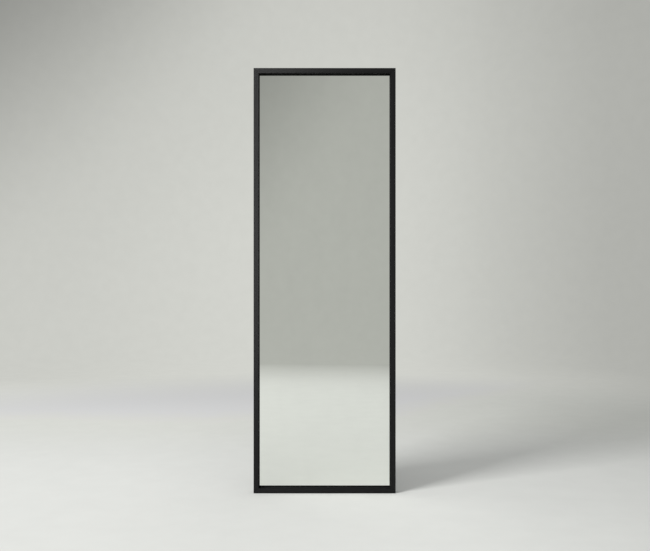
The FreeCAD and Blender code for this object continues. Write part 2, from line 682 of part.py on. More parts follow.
def slide_member(kind, level, side):
    """One roll-formed member of a slide, with its holes."""
    _, _, webs = slide_sections()
    rear ="Places.slide_rear" if kind == "outer" else "Places.member_rear"
    length = "Sizes.slide_length" if kind == "outer" else "Places.member_length"
    body = new_body(f"slide_{kind}_{level}", rear, "0", f"{side} * Places.slide_z")
    section = new_sketch(body, SIDE)
    draw_edges(section, symmetric_strip(*webs[kind], num("Sizes.slide_sheet")), to_side_plane)
    pad(body, section, length)
    holes = new_sketch(body, FRONT)
    radius = "Sizes.hole_radius" if kind == "outer" else "Sizes.access_radius"
    for sign in "+-":
        draw_circle(holes, f"{sign}Sizes.hole_spacing / 2 - {rear}", "0", radius)
    if kind == "outer":
        draw_circle(holes, "Sizes.stop_length / 2", "0", "Sizes.rivet_radius + Sizes.thread_gap")
    if kind == "inner":
        for centre in post_screw_columns() + catch_screw_columns():
            draw_circle(holes, f"{centre} - {rear}", "0", FASTENER_HOLE)
    pocket(body, holes)


def ball_rows(kind):
    """A cage's ball row as (depth, height), then the depths of its web and of its flanges' far edge."""
    outer_row, inner_row, _ = slide_sections()
    web = num(f"Places.{kind}_cage_depth + Sizes.cage_sheet / 2")
    if kind == "outer":
        return outer_row, web, outer_row[0] + num("Sizes.ball_radius + Sizes.cage_lip")
    return inner_row, web, num("Sizes.slide_depth - Sizes.cage_inset")


def ball_cage(kind, level, side):
    """A folded strip with a row of ball pockets in each flange and a window in its web."""
    (depth, height), web, edge = ball_rows(kind)
    bend = num("Sizes.cage_bend")
    body = new_body(f"cage_{kind}_{level}", "Places.cage_rear", "0", f"{side} * Places.slide_z")
    half = [run(height - bend), turn(-90, bend), run(edge - web - bend)]
    section = new_sketch(body, SIDE)
    draw_edges(section, symmetric_strip(web, half, num("Sizes.cage_sheet")), to_side_plane)
    pad(body, section, "Places.cage_length")
    pockets = new_sketch(body, TOP)
    for ball in range(int(num("Sizes.balls_per_row"))):
        along = f"Sizes.cage_margin + {ball} * Sizes.ball_pitch"
        draw_circle(pockets, along, f"{-depth}", "Sizes.ball_radius + Sizes.ball_gap")
    pocket(body, pockets)
    window = new_sketch(body, FRONT)
    rise, margin = "Sizes.cage_window / 2", "Sizes.cage_margin"
    draw_rectangle(window, margin, f"-{rise}", f"Places.cage_length - {margin}", rise)
    pocket(body, window)


def cage_balls(kind, level, side):
    """The balls of both rows of a cage."""
    (depth, height), _, _ = ball_rows(kind)
    ball = Part.makeSphere(num("Sizes.ball_radius"))
    first = num("Places.cage_rear + Sizes.cage_margin")
    middle = side * num("Places.slide_z")
    spots = []
    for index in range(int(num("Sizes.balls_per_row"))):
        x = first + index * num("Sizes.ball_pitch")
        spots += [spot(x, -depth, middle + row * height) for row in (1, -1)]
    copies(f"balls_{kind}_{level}", ball, spots)


def rear_stop(level, side):
    """A nylon block at the rear of the outer member, which the closed members run up to."""
    body = new_body(f"rear_stop_{level}", "Places.slide_rear", "0", f"{side} * Places.slide_z")
    half = "(Sizes.slide_height / 2 - Sizes.stop_inset)"
    block = new_sketch(body, SIDE)
    draw_rectangle(block, "-Places.stop_front", f"-{half}", "-Sizes.slide_sheet", half)
    solid = pad(body, block, "Sizes.stop_length")

    def is_front_corner(start, end):
        return abs(start.y + num("Places.stop_front")) < 1e-6 and abs(start.x - end.x) > 1

    round_edges(body, solid, is_front_corner, "Sizes.slide_sheet")
    hole = new_sketch(body, FRONT)
    draw_circle(hole, "Sizes.stop_length / 2", "0", "Sizes.rivet_radius + Sizes.thread_gap")
    pocket(body, hole)


def stop_rivets():
    """Rivets that hold the end stops, flush with the back of the outer member."""
    body = new_body("stop_rivet", kept=False)
    shank, head, seat = "Sizes.rivet_radius", "2 * Sizes.rivet_radius", "Places.stop_front"
    rim, crown = f"{seat} + Sizes.rivet_head_rise / 2", f"{seat} + Sizes.rivet_head_rise"
    revolve(body, [("0", "0"), (shank, "0"), (shank, seat), (head, seat), (head, rim),
                   (shank, crown), ("0", crown)])
    x, z = num("Places.slide_rear + Sizes.stop_length / 2"), num("Places.slide_z")
    copies("stop_rivets", body.Shape, [spot(x, 0, side * z, FACING_PANEL) for side in (1, -1)])


# ------------------------------------------------------------------------------------------- carriage

def post_screw_columns():
    return [f"Places.post_x {sign} Sizes.bolt_offset" for sign in "+-"]


def catch_screw_columns():
    return [f"Places.catch_x {sign} Places.wing_x" for sign in "+-"]


def carriage_post():
    """A folded channel, open towards the mirror, that joins the two slides."""
    body = new_body("carriage_post", "Places.post_x")
    half_sheet, bend = num("Sizes.post_sheet / 2"), num("Sizes.post_bend")
    web = num("Sizes.slide_depth") + half_sheet
    half = [
        run(num("Sizes.post_width / 2") - half_sheet - bend),
        turn(-90, bend),
        run(num("Sizes.post_flange") - half_sheet - bend),
    ]
    section = new_sketch(body, TOP)
    draw_edges(section, symmetric_strip(web, half, num("Sizes.post_sheet")), to_top_plane)
    pad(body, section, "2 * Places.post_end", both_ways=True)
    holes = new_sketch(body, FRONT)
    for side in "+-":
        for across in "+-":
            column = f"{across}Sizes.bolt_offset"
            draw_circle(holes, column, f"{side}Places.slide_z", FASTENER_HOLE)
            draw_circle(holes, column, f"{side}Places.bolt_z", BOLT_HOLE)
    pocket(body, holes)


def pivot_bracket(label, end):
    """A leg in the post's channel and a tab beyond the post's end, which carries the pivot."""
    tab = "Places.tab_upper" if end > 0 else "Places.tab_lower"
    body = new_body(label)
    half_sheet, bend = num("Sizes.bracket_sheet / 2"), num("Sizes.bracket_bend")
    leg_depth = -num("Places.post_inner_y") + half_sheet
    leg_length, tab_far = num("Sizes.bracket_leg"), num("Places.tab_far")
    far_edge = -num("Places.pivot_y - Sizes.eye_radius")
    moves = [run(leg_length - half_sheet - bend), turn(-90, bend), run(far_edge - leg_depth - bend)]
    edges = strip_edges((leg_depth, tab_far - leg_length), math.pi / 2, moves, 2 * half_sheet)
    section = new_sketch(body, SIDE, "Places.post_x - Places.leg_half")
    draw_edges(section, edges, lambda deep, high: Vector(-deep, end * high, 0))
    pad(body, section, "2 * Places.leg_half")

    neck = new_sketch(body, TOP, tab)
    low = "Places.pivot_y - Sizes.eye_radius"
    draw_rectangle(neck, "Places.post_x", low, "Places.pivot_x", f"{low} + Sizes.neck_width")
    pad(body, neck, "Sizes.bracket_sheet")
    eye = new_sketch(body, TOP, tab)
    draw_circle(eye, "Places.pivot_x", "Places.pivot_y", "Sizes.eye_radius")
    pad(body, eye, "Sizes.bracket_sheet")
    lug = new_sketch(body, TOP, tab)
    pivot = (num("Places.pivot_x"), num("Places.pivot_y"))
    dowel = (num("Places.stop_x"), num("Places.stop_y"))
    draw_edges(lug, capsule(pivot, dowel, num("Sizes.lug_radius")), lambda x, y: Vector(x, y, 0))
    pad(body, lug, "Sizes.bracket_sheet")

    holes = new_sketch(body, TOP)
    draw_circle(holes, "Places.pivot_x", "Places.pivot_y", PIN_HOLE)
    draw_circle(holes, "Places.stop_x", "Places.stop_y", "Sizes.stop_pin_radius + Sizes.thread_gap")
    pocket(body, holes)
    bolts = new_sketch(body, FRONT)
    for column in post_screw_columns():
        draw_circle(bolts, column, f"{end} * Places.bolt_z", BOLT_HOLE)
    pocket(body, bolts)


def capsule(start, end, radius):
    """The outline of two half circles and the straight sides between them."""
    heading = math.atan2(end[1] - start[1], end[0] - start[0])

    def at(centre, angle):
        return (centre[0] + radius * math.cos(angle), centre[1] + radius * math.sin(angle))

    quarter = math.pi / 2
    return [
        [at(start, heading + quarter), at(start, heading + 2 * quarter), at(start, heading - quarter)],
        [at(start, heading - quarter), at(end, heading - quarter)],
        [at(end, heading - quarter), at(end, heading), at(end, heading + quarter)],
        [at(end, heading + quarter), at(start, heading + quarter)],
    ]


def magnet_housing(label, side):
    """A moulded block on the inner member that holds a magnet against the mirror's back."""
    body = new_body(label, "Places.catch_x", "-Sizes.slide_depth", f"{side} * Places.slide_z")
    rise = "Sizes.housing_height / 2"
    base = new_sketch(body, FRONT)
    wide = "(Sizes.housing_length / 2 + Sizes.housing_wing)"
    draw_rectangle(base, f"-{wide}", f"-{rise}", wide, rise)
    plate = pad(body, base, "Sizes.housing_base")

    def is_upright(start, end):
        return abs(start.y - end.y) > 1

    round_edges(body, plate, is_upright, "Sizes.housing_round")
    block = new_sketch(body, FRONT)
    draw_rectangle(block, "-Sizes.housing_length / 2", f"-{rise}", "Sizes.housing_length / 2", rise)
    solid = pad(body, block, "Places.housing_depth")

    def is_block_corner(start, end):
        return abs(start.y - end.y) > num("Sizes.housing_base") + 1

    round_edges(body, solid, is_block_corner, "Sizes.housing_round")
    seat = new_sketch(body, FRONT, "-Places.housing_depth")
    draw_circle(seat, "0", "0", "Sizes.magnet_radius + Sizes.thread_gap")
    pocket(body, seat, "Sizes.magnet_thick")
    holes = new_sketch(body, FRONT)
    for sign in "+-":
        draw_circle(holes, f"{sign}Places.wing_x", "0", FASTENER_HOLE)
    pocket(body, holes)


def catch_magnets():
    """Magnets that sit flush in the housings."""
    body = new_body("catch_magnet", kept=False)
    revolve(body, [("0", "0"), ("Sizes.magnet_radius", "0"),
                   ("Sizes.magnet_radius", "Sizes.magnet_thick"), ("0", "Sizes.magnet_thick")])
    x, y, z = (num(f"Places.{place}") for place in ("catch_x", "housing_y", "slide_z"))
    copies("catch_magnets", body.Shape, [spot(x, y, side * z, FACING_WALL) for side in (1, -1)])


def pivot_pin(label, tab):
    """A headed pin that stands in the tab, through the bush, washer and nut."""
    body = new_body(label, "Places.pivot_x", "Places.pivot_y", tab)
    head, rise = "Sizes.pivot_head", "Sizes.pivot_head_rise"
    shank, edge = "Sizes.pin_radius", "Sizes.broken_edge"
    revolve(body, [
        ("0", f"-{rise}"),
        (f"{head} - 2 * {edge}", f"-{rise}"),
        (head, f"-{rise} + 2 * {edge}"),
        (head, "0"),
        (shank, "0"),
        (shank, f"Sizes.pin_length - {edge}"),
        (f"{shank} - {edge}", "Sizes.pin_length"),
        ("0", "Sizes.pin_length"),
    ])


def hexagon_nut(label, corners, height, bore, collar="0"):
    """A hexagon nut and, where wanted, a round locking collar above it."""
    body = new_body(label, kept=False)
    across = num(corners)
    sketch = new_sketch(body, TOP)
    points = [(across * math.cos(math.radians(60 * each)), across * math.sin(math.radians(60 * each)))
              for each in range(6)]
    draw_edges(sketch, list(zip(points, points[1:] + points[:1])), lambda x, y: Vector(x, y, 0))
    pad(body, sketch, f"{height} - {collar}")
    if num(collar):
        ring = new_sketch(body, TOP)
        draw_circle(ring, "0", "0", f"{corners} * cos(30) - Sizes.broken_edge")
        pad(body, ring, height)
    hole = new_sketch(body, TOP)
    draw_circle(hole, "0", "0", bore)
    pocket(body, hole)
    return body.Shape


def pivots():
    """Washers and locking nuts on the two pins."""
    washer = new_body("pivot_washer", kept=False)
    ring = new_sketch(washer, TOP)
    draw_circle(ring, "0", "0", "Sizes.washer_radius")
    draw_circle(ring, "0", "0", PIN_HOLE)
    pad(washer, ring, "Sizes.washer_thick")
    nut = hexagon_nut("pivot_nut", "Sizes.pivot_nut_radius", "Sizes.pivot_nut_height", PIN_HOLE,
                      "Sizes.collar_rise")
    x, y = num("Places.pivot_x"), num("Places.pivot_y")
    for label, shape, rise in (("pivot_washers", washer.Shape, "Places.washer_above_tab"),
                               ("pivot_nuts", nut, "Places.nut_above_tab")):
        levels = [num(f"{tab} + {rise}") for tab in ("Places.tab_upper", "Places.tab_lower")]
        copies(label, shape, [spot(x, y, level) for level in levels])


def swivel_stop_pins():
    """Dowels in the tabs that the ears meet at the end of the swivel."""
    body = new_body("swivel_stop_pin", kept=False)
    revolve(body, turned_disc("Sizes.stop_pin_radius", "Places.ear_above_tab + Sizes.strip_sheet"))
    x, y = num("Places.stop_x"), num("Places.stop_y")
    levels = [num("Places.tab_upper"), num("Places.tab_lower")]
    copies("swivel_stop_pins", body.Shape, [spot(x, y, level) for level in levels])


# ------------------------------------------------------------------------------------------ fasteners

RECESS_SLOT, RECESS_ARM = 0.13, 0.5  # a cross recess, as shares of its head's radius
RECESS_DEPTH = 0.6  # and as a share of the head's height


def pan_screw(label, shank, length, head, rise):
    """A pan-head screw with a cross recess. Its head stands on z = 0."""
    body = new_body(label, kept=False)
    edge = "Sizes.broken_edge"
    revolve(body, [
        ("0", f"-{length}"),
        (f"{shank} - {edge}", f"-{length}"),
        (shank, f"-{length} + {edge}"),
        (shank, "0"),
        (head, "0"),
        (head, f"{rise} - 3 * {edge}"),
        (f"{head} - {edge}", f"{rise} - {edge}"),
        (f"{head} - 3 * {edge}", rise),
        ("0", rise),
    ])
    recess = new_sketch(body, TOP, rise)
    slot, arm = num(head) * RECESS_SLOT, num(head) * RECESS_ARM
    corners = [(slot, slot), (slot, arm), (-slot, arm), (-slot, slot), (-arm, slot), (-arm, -slot),
               (-slot, -slot), (-slot, -arm), (slot, -arm), (slot, -slot), (arm, -slot), (arm, slot)]
    draw_edges(recess, list(zip(corners, corners[1:] + corners[:1])), lambda x, y: Vector(x, y, 0))
    pocket(body, recess, f"{rise} * {RECESS_DEPTH}")
    return body.Shape


def fasteners():
    """Screws, bolts and nuts, each kind in one node."""
    small = pan_screw("small_screw", "Sizes.small_shank", "Sizes.small_length",
                      "Sizes.small_head", "Sizes.small_head_rise")
    bolt = pan_screw("bolt", "Sizes.bolt_shank", "Sizes.bolt_length",
                     "Sizes.bolt_head", "Sizes.bolt_head_rise")
    nut = hexagon_nut("bolt_nut", "Sizes.bolt_nut_radius", "Sizes.bolt_nut_height", BOLT_HOLE)
    slide_z, bolt_z = num("Places.slide_z"), num("Places.bolt_z")
    columns = [num(column) for column in post_screw_columns()]
    catches = [num(column) for column in catch_screw_columns()]
    web, leg = num("Places.post_inner_y"), num("Places.post_inner_y - Sizes.bracket_sheet")
    base = num("-Sizes.slide_depth - Sizes.housing_base")
    wall_side = num("-Sizes.slide_depth + Sizes.bolt_nut_height")
    copies("carriage_screws", small,
           [spot(x, web, side * slide_z, FACING_PANEL) for side in (1, -1) for x in columns])
    copies("catch_screws", small,
           [spot(x, base, side * slide_z, FACING_PANEL) for side in (1, -1) for x in catches])
    copies("bracket_bolts", bolt,
           [spot(x, leg, side * bolt_z, FACING_PANEL) for side in (1, -1) for x in columns])
    copies("bracket_nuts", nut,
           [spot(x, wall_side, side * bolt_z, FACING_PANEL) for side in (1, -1) for x in columns])
    inset = num("Places.half_width - Sizes.strip_screw_inset")
    middle, back = num("Places.panel_x"), num("Places.strip_back_y")
    levels = [num(level) for level in strip_screw_levels()]
    copies("cross_strip_screws", small,
           [spot(middle + side * inset, back, level, FACING_WALL) for side in (1, -1) for level in levels])


# ------------------------------------------------------------------------------------------- assembly

stile("frame_left_stile", -1)
stile("frame_right_stile", 1)
rail("frame_top_rail", 1)
rail("frame_bottom_rail", -1)
corner_keys()
gaskets()
for layer, front, thickness in (("mirror_glass", "glass_y", "glass_thick"),
                                ("safety_film", "film_y", "film_thick"),
                                ("foam_pad", "foam_y", "foam_thick"),
                                ("backing_board", "board_y", "board_thick")):
    sheet_in_groove(layer, f"Places.{front}", f"Sizes.{thickness}")
strike_plates()
for level, end in (("upper", 1), ("lower", -1)):
    cross_strip(f"cross_strip_{level}", end)
    pivot_bush(f"pivot_bush_{level}", f"Places.tab_{level}")
    pivot_bracket(f"pivot_bracket_{level}", end)
    pivot_pin(f"pivot_pin_{level}", f"Places.tab_{level}")
    magnet_housing(f"magnet_housing_{level}", end)
    rear_stop(level, end)
    for kind in ("outer", "middle", "inner"):
        slide_member(kind, level, end)
    for kind in ("outer", "inner"):
        ball_cage(kind, level, end)
        cage_balls(kind, level, end)
stop_rivets()
carriage_post()
catch_magnets()
pivots()
swivel_stop_pins()
fasteners()

doc.recompute()
for item in doc.Objects:
    if "Invalid" in item.State or "Error" in item.State:
        raise RuntimeError(f"{item.Label} failed: {item.State}")
for part in sub_parts:
    if part.Shape.isNull() or not part.Shape.isValid() or not part.Shape.Solids:
        raise RuntimeError(f"{part.Label} has no valid solid")

os.makedirs("parts", exist_ok=True)
for part in sub_parts:
    part.Shape.exportStep(os.path.join("parts", f"{part.Label}.step"))
    box = part.Shape.BoundBox
    size = f"{box.XLength:.1f} x {box.YLength:.1f} x {box.ZLength:.1f}"
    print(f"{part.Label}: {len(part.Shape.Solids)} solids, {size}")
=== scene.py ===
# %% [markdown]
# # A pull-out closet mirror
# A slim black frame holds a full-length mirror. Behind it, two ball-bearing slides carry a steel post, and
# the mirror turns on that post, so it can be drawn out of a wardrobe and swung round to be used.
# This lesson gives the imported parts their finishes, models the small hardware that plain solids can't show,
# and lights the whole as a photographer would light a dark object in a pale studio.

import math

import bmesh
import bpy
from mathutils import Matrix, Vector


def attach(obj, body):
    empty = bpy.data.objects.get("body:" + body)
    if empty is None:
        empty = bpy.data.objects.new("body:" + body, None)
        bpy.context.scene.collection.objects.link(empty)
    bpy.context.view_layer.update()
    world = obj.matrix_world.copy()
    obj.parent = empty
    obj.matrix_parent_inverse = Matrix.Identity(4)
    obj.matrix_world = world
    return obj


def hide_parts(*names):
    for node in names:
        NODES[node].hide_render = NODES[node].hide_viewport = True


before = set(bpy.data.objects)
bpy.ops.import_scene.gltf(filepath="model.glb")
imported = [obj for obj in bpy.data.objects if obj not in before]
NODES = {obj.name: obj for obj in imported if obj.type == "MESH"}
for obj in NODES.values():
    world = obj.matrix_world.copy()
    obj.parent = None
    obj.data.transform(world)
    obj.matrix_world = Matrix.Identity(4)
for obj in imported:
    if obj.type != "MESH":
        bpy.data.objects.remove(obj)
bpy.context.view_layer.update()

# %% [markdown]
# ## Units and colours
# Blender works in metres, while workshop drawings are in millimetres, so one constant turns one to the other.
# Paint and plating are picked as hex colours, which are stored for a screen. A shader adds up real light, so
# each hex value is turned to linear light once, here, and nowhere else.

# %% Units and colours
MM = 0.001


def colour(code):
    """Turn a hex colour such as #d0d1cc into linear red, green, blue and alpha."""
    parts = [int(code[i:i + 2], 16) / 255 for i in (1, 3, 5)]
    linear = [p / 12.92 if p <= 0.04045 else ((p + 0.055) / 1.055) ** 2.4 for p in parts]
    return (*linear, 1.0)


def spaced(size):
    """Scale of a texture whose features are size millimetres apart on Object coordinates."""
    return 1 / (size * MM)


print("a mid grey, #808080, in linear light:", round(colour("#808080")[0], 3))

# %% [markdown]
# ## The camera
# The eye is level, a little above the middle of the mirror and two metres in front of it. A camera that isn't
# tilted keeps the long stiles upright in the picture. A 47 mm lens leaves the panel at about three quarters
# of the height of the frame.

# %% The camera
EYE = Vector((0.9, -2056.0, 12.2)) * MM
LENS = 47.08

camera_data = bpy.data.cameras.new("eye_level_camera")
camera_data.lens = LENS
camera = bpy.data.objects.new("eye_level_camera", camera_data)
camera.location = EYE
camera.rotation_euler = (math.radians(90), 0, 0)
bpy.context.scene.collection.objects.link(camera)
bpy.context.scene.camera = camera
print("camera stands", round(-EYE.y, 3), "m in front of the side panel")

# %% [markdown]
# ## Building a material
# A material is a small machine of nodes. One helper adds any node: it sets the node's own settings, fills its
# sockets with numbers, and joins a socket to another node when it is given one. Almost every finish then does
# the same three things with a pattern: it shifts the colour a little, it makes some places shinier, and it
# raises the surface by a few micrometres. The second helper does those three.

# %% Node helpers
def node(tree, kind, inputs=None, **settings):
    """Add a node to tree; a socket's value is a number, a colour or another node's output."""
    made = tree.nodes.new(kind)
    for name, value in settings.items():
        setattr(made, name, value)
    for socket, value in (inputs or {}).items():
        if isinstance(value, bpy.types.NodeSocket):
            tree.links.new(value, made.inputs[socket])
        else:
            made.inputs[socket].default_value = value
    return made


def finish(name, **sockets):
    """Start a material; words such as Coat_Weight set the shader's own sockets."""
    material = bpy.data.materials.new(name)
    material.use_nodes = True
    shader = material.node_tree.nodes["Principled BSDF"]
    for socket, value in sockets.items():
        shader.inputs[socket.replace("_", " ")].default_value = value
    print("finish:", name)
    return material, material.node_tree


def grain(tree, size, stretch=(1, 1, 1), detail=2.0, warp=0.0):
    """A cloudy pattern with features of size millimetres, drawn out along an axis by stretch."""
    place = node(tree, "ShaderNodeTexCoord").outputs["Object"]
    scale = tuple(1 / s for s in stretch)
    placed = node(tree, "ShaderNodeMapping", {"Vector": place, "Scale": scale}).outputs[0]
    made = node(tree, "ShaderNodeTexNoise",
                {"Vector": placed, "Scale": spaced(size), "Detail": detail, "Distortion": warp})
    return made.outputs["Fac"]


def tell(tree, pattern, colours=None, shine=None, height=None, reach=(0.3, 0.7)):
    """Send a pattern to the colour, the roughness and the relief (height in micrometres) of a finish."""
    shader = tree.nodes["Principled BSDF"]
    level = node(tree, "ShaderNodeMapRange", {"Value": pattern, "From Min": reach[0], "From Max": reach[1]})
    if colours:
        tint = node(tree, "ShaderNodeMix",
                    {0: level.outputs[0], 6: colour(colours[0]), 7: colour(colours[1])}, data_type="RGBA")
        tree.links.new(tint.outputs[2], shader.inputs["Base Color"])
    if shine:
        rough = node(tree, "ShaderNodeMapRange",
                     {"Value": level.outputs[0], "To Min": shine[0], "To Max": shine[1]})
        tree.links.new(rough.outputs[0], shader.inputs["Roughness"])
    if height:
        before = shader.inputs["Normal"].links
        bump = node(tree, "ShaderNodeBump", {"Height": pattern, "Distance": height * MM * MM})
        if before:
            tree.links.new(before[0].from_socket, bump.inputs["Normal"])
        tree.links.new(bump.outputs[0], shader.inputs["Normal"])


# %% [markdown]
# ## Satin black anodised aluminium
# The frame is extruded: aluminium is pushed through a die, which leaves faint lines along its length, then it
# is etched satin, and the oxide is dyed black. The eye gets a deep, dry black with a soft, wide highlight and
# lines that only show close up. The lines follow the member, so uprights and rails get one material each.

# %% Anodised aluminium
def anodised(name, along, across):
    """Black aluminium whose die lines run along one axis, on a member that is as wide as another axis."""
    material, tree = finish(name, IOR=1.5, Specular_IOR_Level=0.2)
    shader = tree.nodes["Principled BSDF"]
    stretch = [1.0, 1.0, 1.0]
    stretch["XYZ".index(along)] = 90.0
    lines = grain(tree, 1.1, stretch, detail=3.0)
    etch = grain(tree, 0.5, detail=1.0)
    tell(tree, lines, ("#070708", "#0c0c0d"), (0.29, 0.36), 4.0)
    tell(tree, etch, height=1.2)
    # A face looks into the opening when its direction and its place have opposite signs. The etch stays dead
    # matt there, in the corner that no cloth reaches, so that the opening gets a dark line all round.
    found = node(tree, "ShaderNodeTexCoord").outputs
    looks = node(tree, "ShaderNodeVectorMath", {0: found["Normal"], 1: found["Object"]}, operation="MULTIPLY")
    inward = node(tree, "ShaderNodeSeparateXYZ", {0: looks.outputs[0]}).outputs[across]
    matt = node(tree, "ShaderNodeMapRange", {"Value": inward, "From Min": -0.1, "From Max": -0.03,
                                             "To Min": 1.0, "To Max": 0.0})
    satin = shader.inputs["Roughness"].links[0].from_socket
    rough = node(tree, "ShaderNodeMath", {0: satin, 1: matt.outputs[0]}, operation="MAXIMUM")
    tree.links.new(rough.outputs[0], shader.inputs["Roughness"])
    return material


ANODISED_UPRIGHT = anodised("satin_black_anodised_upright", "Z", "X")
ANODISED_RAIL = anodised("satin_black_anodised_rail", "X", "Z")

# %% [markdown]
# ## Silvered float glass
# A mirror is glass with silver behind it. The silver is a metal with no colour of its own, and the iron in
# the glass takes out a little red and blue, so what it shows is slightly darker and greener. Float glass is
# very flat, so the relief is a long, shallow roll of a few micrometres, and a cloth leaves a faint haze.

# %% Silvered glass
MIRROR, tree = finish("silvered_float_glass", Metallic=1.0, Coat_Weight=1.0, Coat_Roughness=0.0,
                      Coat_IOR=1.52)
haze = grain(tree, 45.0, (1.0, 1.0, 2.2), detail=3.0, warp=0.6)
tell(tree, haze, ("#f0f2ee", "#f2f4f0"), (0.0, 0.012))

# %% [markdown]
# ## Rubber, film, foam and board
# What lies round and behind the glass is soft or dull. EPDM rubber is a matt black with a faint grey bloom.
# The safety film is a thin milky plastic. Closed-cell foam shows its small bubbles. Hardboard is pressed from
# wood fibre over a wire screen, so its back keeps a regular mesh of dimples under the black paint.

# %% Rubber, film, foam and board
RUBBER, tree = finish("extruded_epdm_rubber", IOR=1.52, Specular_IOR_Level=0.1)
tell(tree, grain(tree, 3.0, detail=4.0), ("#050505", "#0c0c0b"), (0.66, 0.82), 6.0)

FILM, tree = finish("polyester_safety_film", IOR=1.6, Coat_Weight=0.3, Coat_Roughness=0.2)
tell(tree, grain(tree, 9.0, detail=3.0), ("#c9cdca", "#d6d9d7"), (0.3, 0.42), 8.0)

FOAM, tree = finish("closed_cell_foam", IOR=1.45, Specular_IOR_Level=0.2)
place = node(tree, "ShaderNodeTexCoord").outputs["Object"]
cells = node(tree, "ShaderNodeTexVoronoi", {"Vector": place, "Scale": spaced(0.8)})
tell(tree, cells.outputs["Distance"], ("#303031", "#424244"), (0.9, 0.75), 120.0, reach=(0.0, 0.7))

BOARD, tree = finish("black_faced_hardboard", IOR=1.5, Specular_IOR_Level=0.3)
place = node(tree, "ShaderNodeTexCoord").outputs["Object"]
SCREEN_PITCH = 2.6  # a real screen has about 1.3 mm between its wires, and this is coarser so that it shows
WAVE_RATE = 20  # a wave texture runs through 20 radians in one unit of its scale, and one wave is tau
weave = []
for axis in ("X", "Z"):
    wave = node(tree, "ShaderNodeTexWave",
                {"Vector": place, "Scale": spaced(SCREEN_PITCH) * math.tau / WAVE_RATE,
                 "Distortion": 0.35, "Detail": 1.0, "Detail Scale": 1.0}, bands_direction=axis)
    weave.append(wave.outputs["Fac"])
screen = node(tree, "ShaderNodeMath", {0: weave[0], 1: weave[1]}, operation="MULTIPLY")
fibre = grain(tree, 5.0, (1.6, 1.0, 1.0), detail=6.0, warp=0.3)
both = node(tree, "ShaderNodeMath", {0: screen.outputs[0], 1: 0.35, 2: fibre}, operation="MULTIPLY_ADD")
tell(tree, both.outputs[0], ("#151413", "#302c28"), (0.72, 0.55), 80.0, reach=(0.32, 0.95))

# %% [markdown]
# ## Black powder coat
# The post, the brackets and the cross strips are folded steel with a baked powder coat. The powder melts and
# levels out, but not fully, so the surface has the low rounded relief of orange peel. It gives a soft
# highlight that breaks up at its edge.

# %% Powder coat
POWDER, tree = finish("black_powder_coat", IOR=1.52, Specular_IOR_Level=0.45)
tell(tree, grain(tree, 2.0, detail=1.0), ("#111112", "#181819"), (0.36, 0.5), 60.0)
tell(tree, grain(tree, 28.0, detail=2.0), height=40.0)

# %% [markdown]
# ## Plated, rolled and polished steel
# The slides are rolled from strip and zinc plated. Rolling leaves lines along the member, and the clear
# passivation over the zinc drifts between blue and straw. The ball cages are bare strip, darker and duller.
# The balls are ground and polished. Screws are zinc plated too, but cold headed, so they have no lines.

# %% Steel
def rolled(name, colours, shine):
    """Strip steel with cloudy plating and with rolling lines along the slide."""
    material, tree = finish(name, Metallic=1.0)
    clouds = grain(tree, 34.0, (3.0, 1.0, 1.0), detail=5.0, warp=0.4)
    lines = grain(tree, 0.7, (60.0, 1.0, 1.0), detail=3.0)
    tell(tree, clouds, colours, shine)
    tell(tree, lines, height=5.0)
    return material


ZINC = rolled("zinc_plated_rolled_steel", ("#94989c", "#a9a9a4"), (0.38, 0.48))
CAGE = rolled("cold_rolled_cage_steel", ("#707275", "#858487"), (0.42, 0.52))

BALL, tree = finish("polished_ball_steel", Metallic=1.0)
tell(tree, grain(tree, 0.9, detail=3.0), ("#c6c8cc", "#d2d3d6"), (0.05, 0.12), 0.4)

SCREW, tree = finish("zinc_plated_screw_steel", Metallic=1.0)
tell(tree, grain(tree, 1.8, detail=3.0), ("#a9acad", "#c2c1b9"), (0.22, 0.36), 4.0)

PIN, tree = finish("turned_pin_steel", Metallic=1.0)
tell(tree, grain(tree, 0.5, (40.0, 40.0, 1.0), detail=2.0), ("#9a9ca0", "#b4b5b8"), (0.18, 0.3), 5.0)

RIVET, tree = finish("plain_rivet_aluminium", Metallic=1.0)
tell(tree, grain(tree, 0.9, detail=2.0), ("#b7b8ba", "#cccccc"), (0.3, 0.45), 6.0)

NICKEL, tree = finish("nickel_plated_magnet", Metallic=1.0)
tell(tree, grain(tree, 1.2, detail=3.0), ("#bdb8ab", "#cbc7bc"), (0.14, 0.26), 2.0)

CAST, tree = finish("die_cast_zinc_alloy", Metallic=1.0)
tell(tree, grain(tree, 0.8, detail=4.0), ("#8c8e92", "#a5a6a9"), (0.42, 0.58), 25.0)

# %% [markdown]
# ## Moulded plastics
# Natural nylon is milky, and light goes a little way into it, so its edges glow. The magnet housings are
# black ABS from a spark-eroded mould, which gives an even, fine grain that hides scratches.

# %% Plastics
NYLON, tree = finish("natural_moulded_nylon", IOR=1.53, Subsurface_Weight=0.35,
                     Subsurface_Radius=(1.0, 0.85, 0.6), Subsurface_Scale=1.2 * MM)
tell(tree, grain(tree, 14.0, detail=3.0), ("#e5e0d2", "#ebe7db"), (0.38, 0.48))
tell(tree, grain(tree, 0.6, detail=2.0), height=5.0)

ABS, tree = finish("spark_grained_black_abs", IOR=1.54, Specular_IOR_Level=0.45)
tell(tree, grain(tree, 0.45, detail=2.0), ("#0f0f10", "#1a1a1b"), (0.45, 0.6), 14.0)

# %% [markdown]
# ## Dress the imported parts
# A part whose shape is already right only needs its finish, so the slot that it came with is given the new
# material. The list below says which finish each slot of the record gets, and the rails are told apart from
# the uprights afterwards.

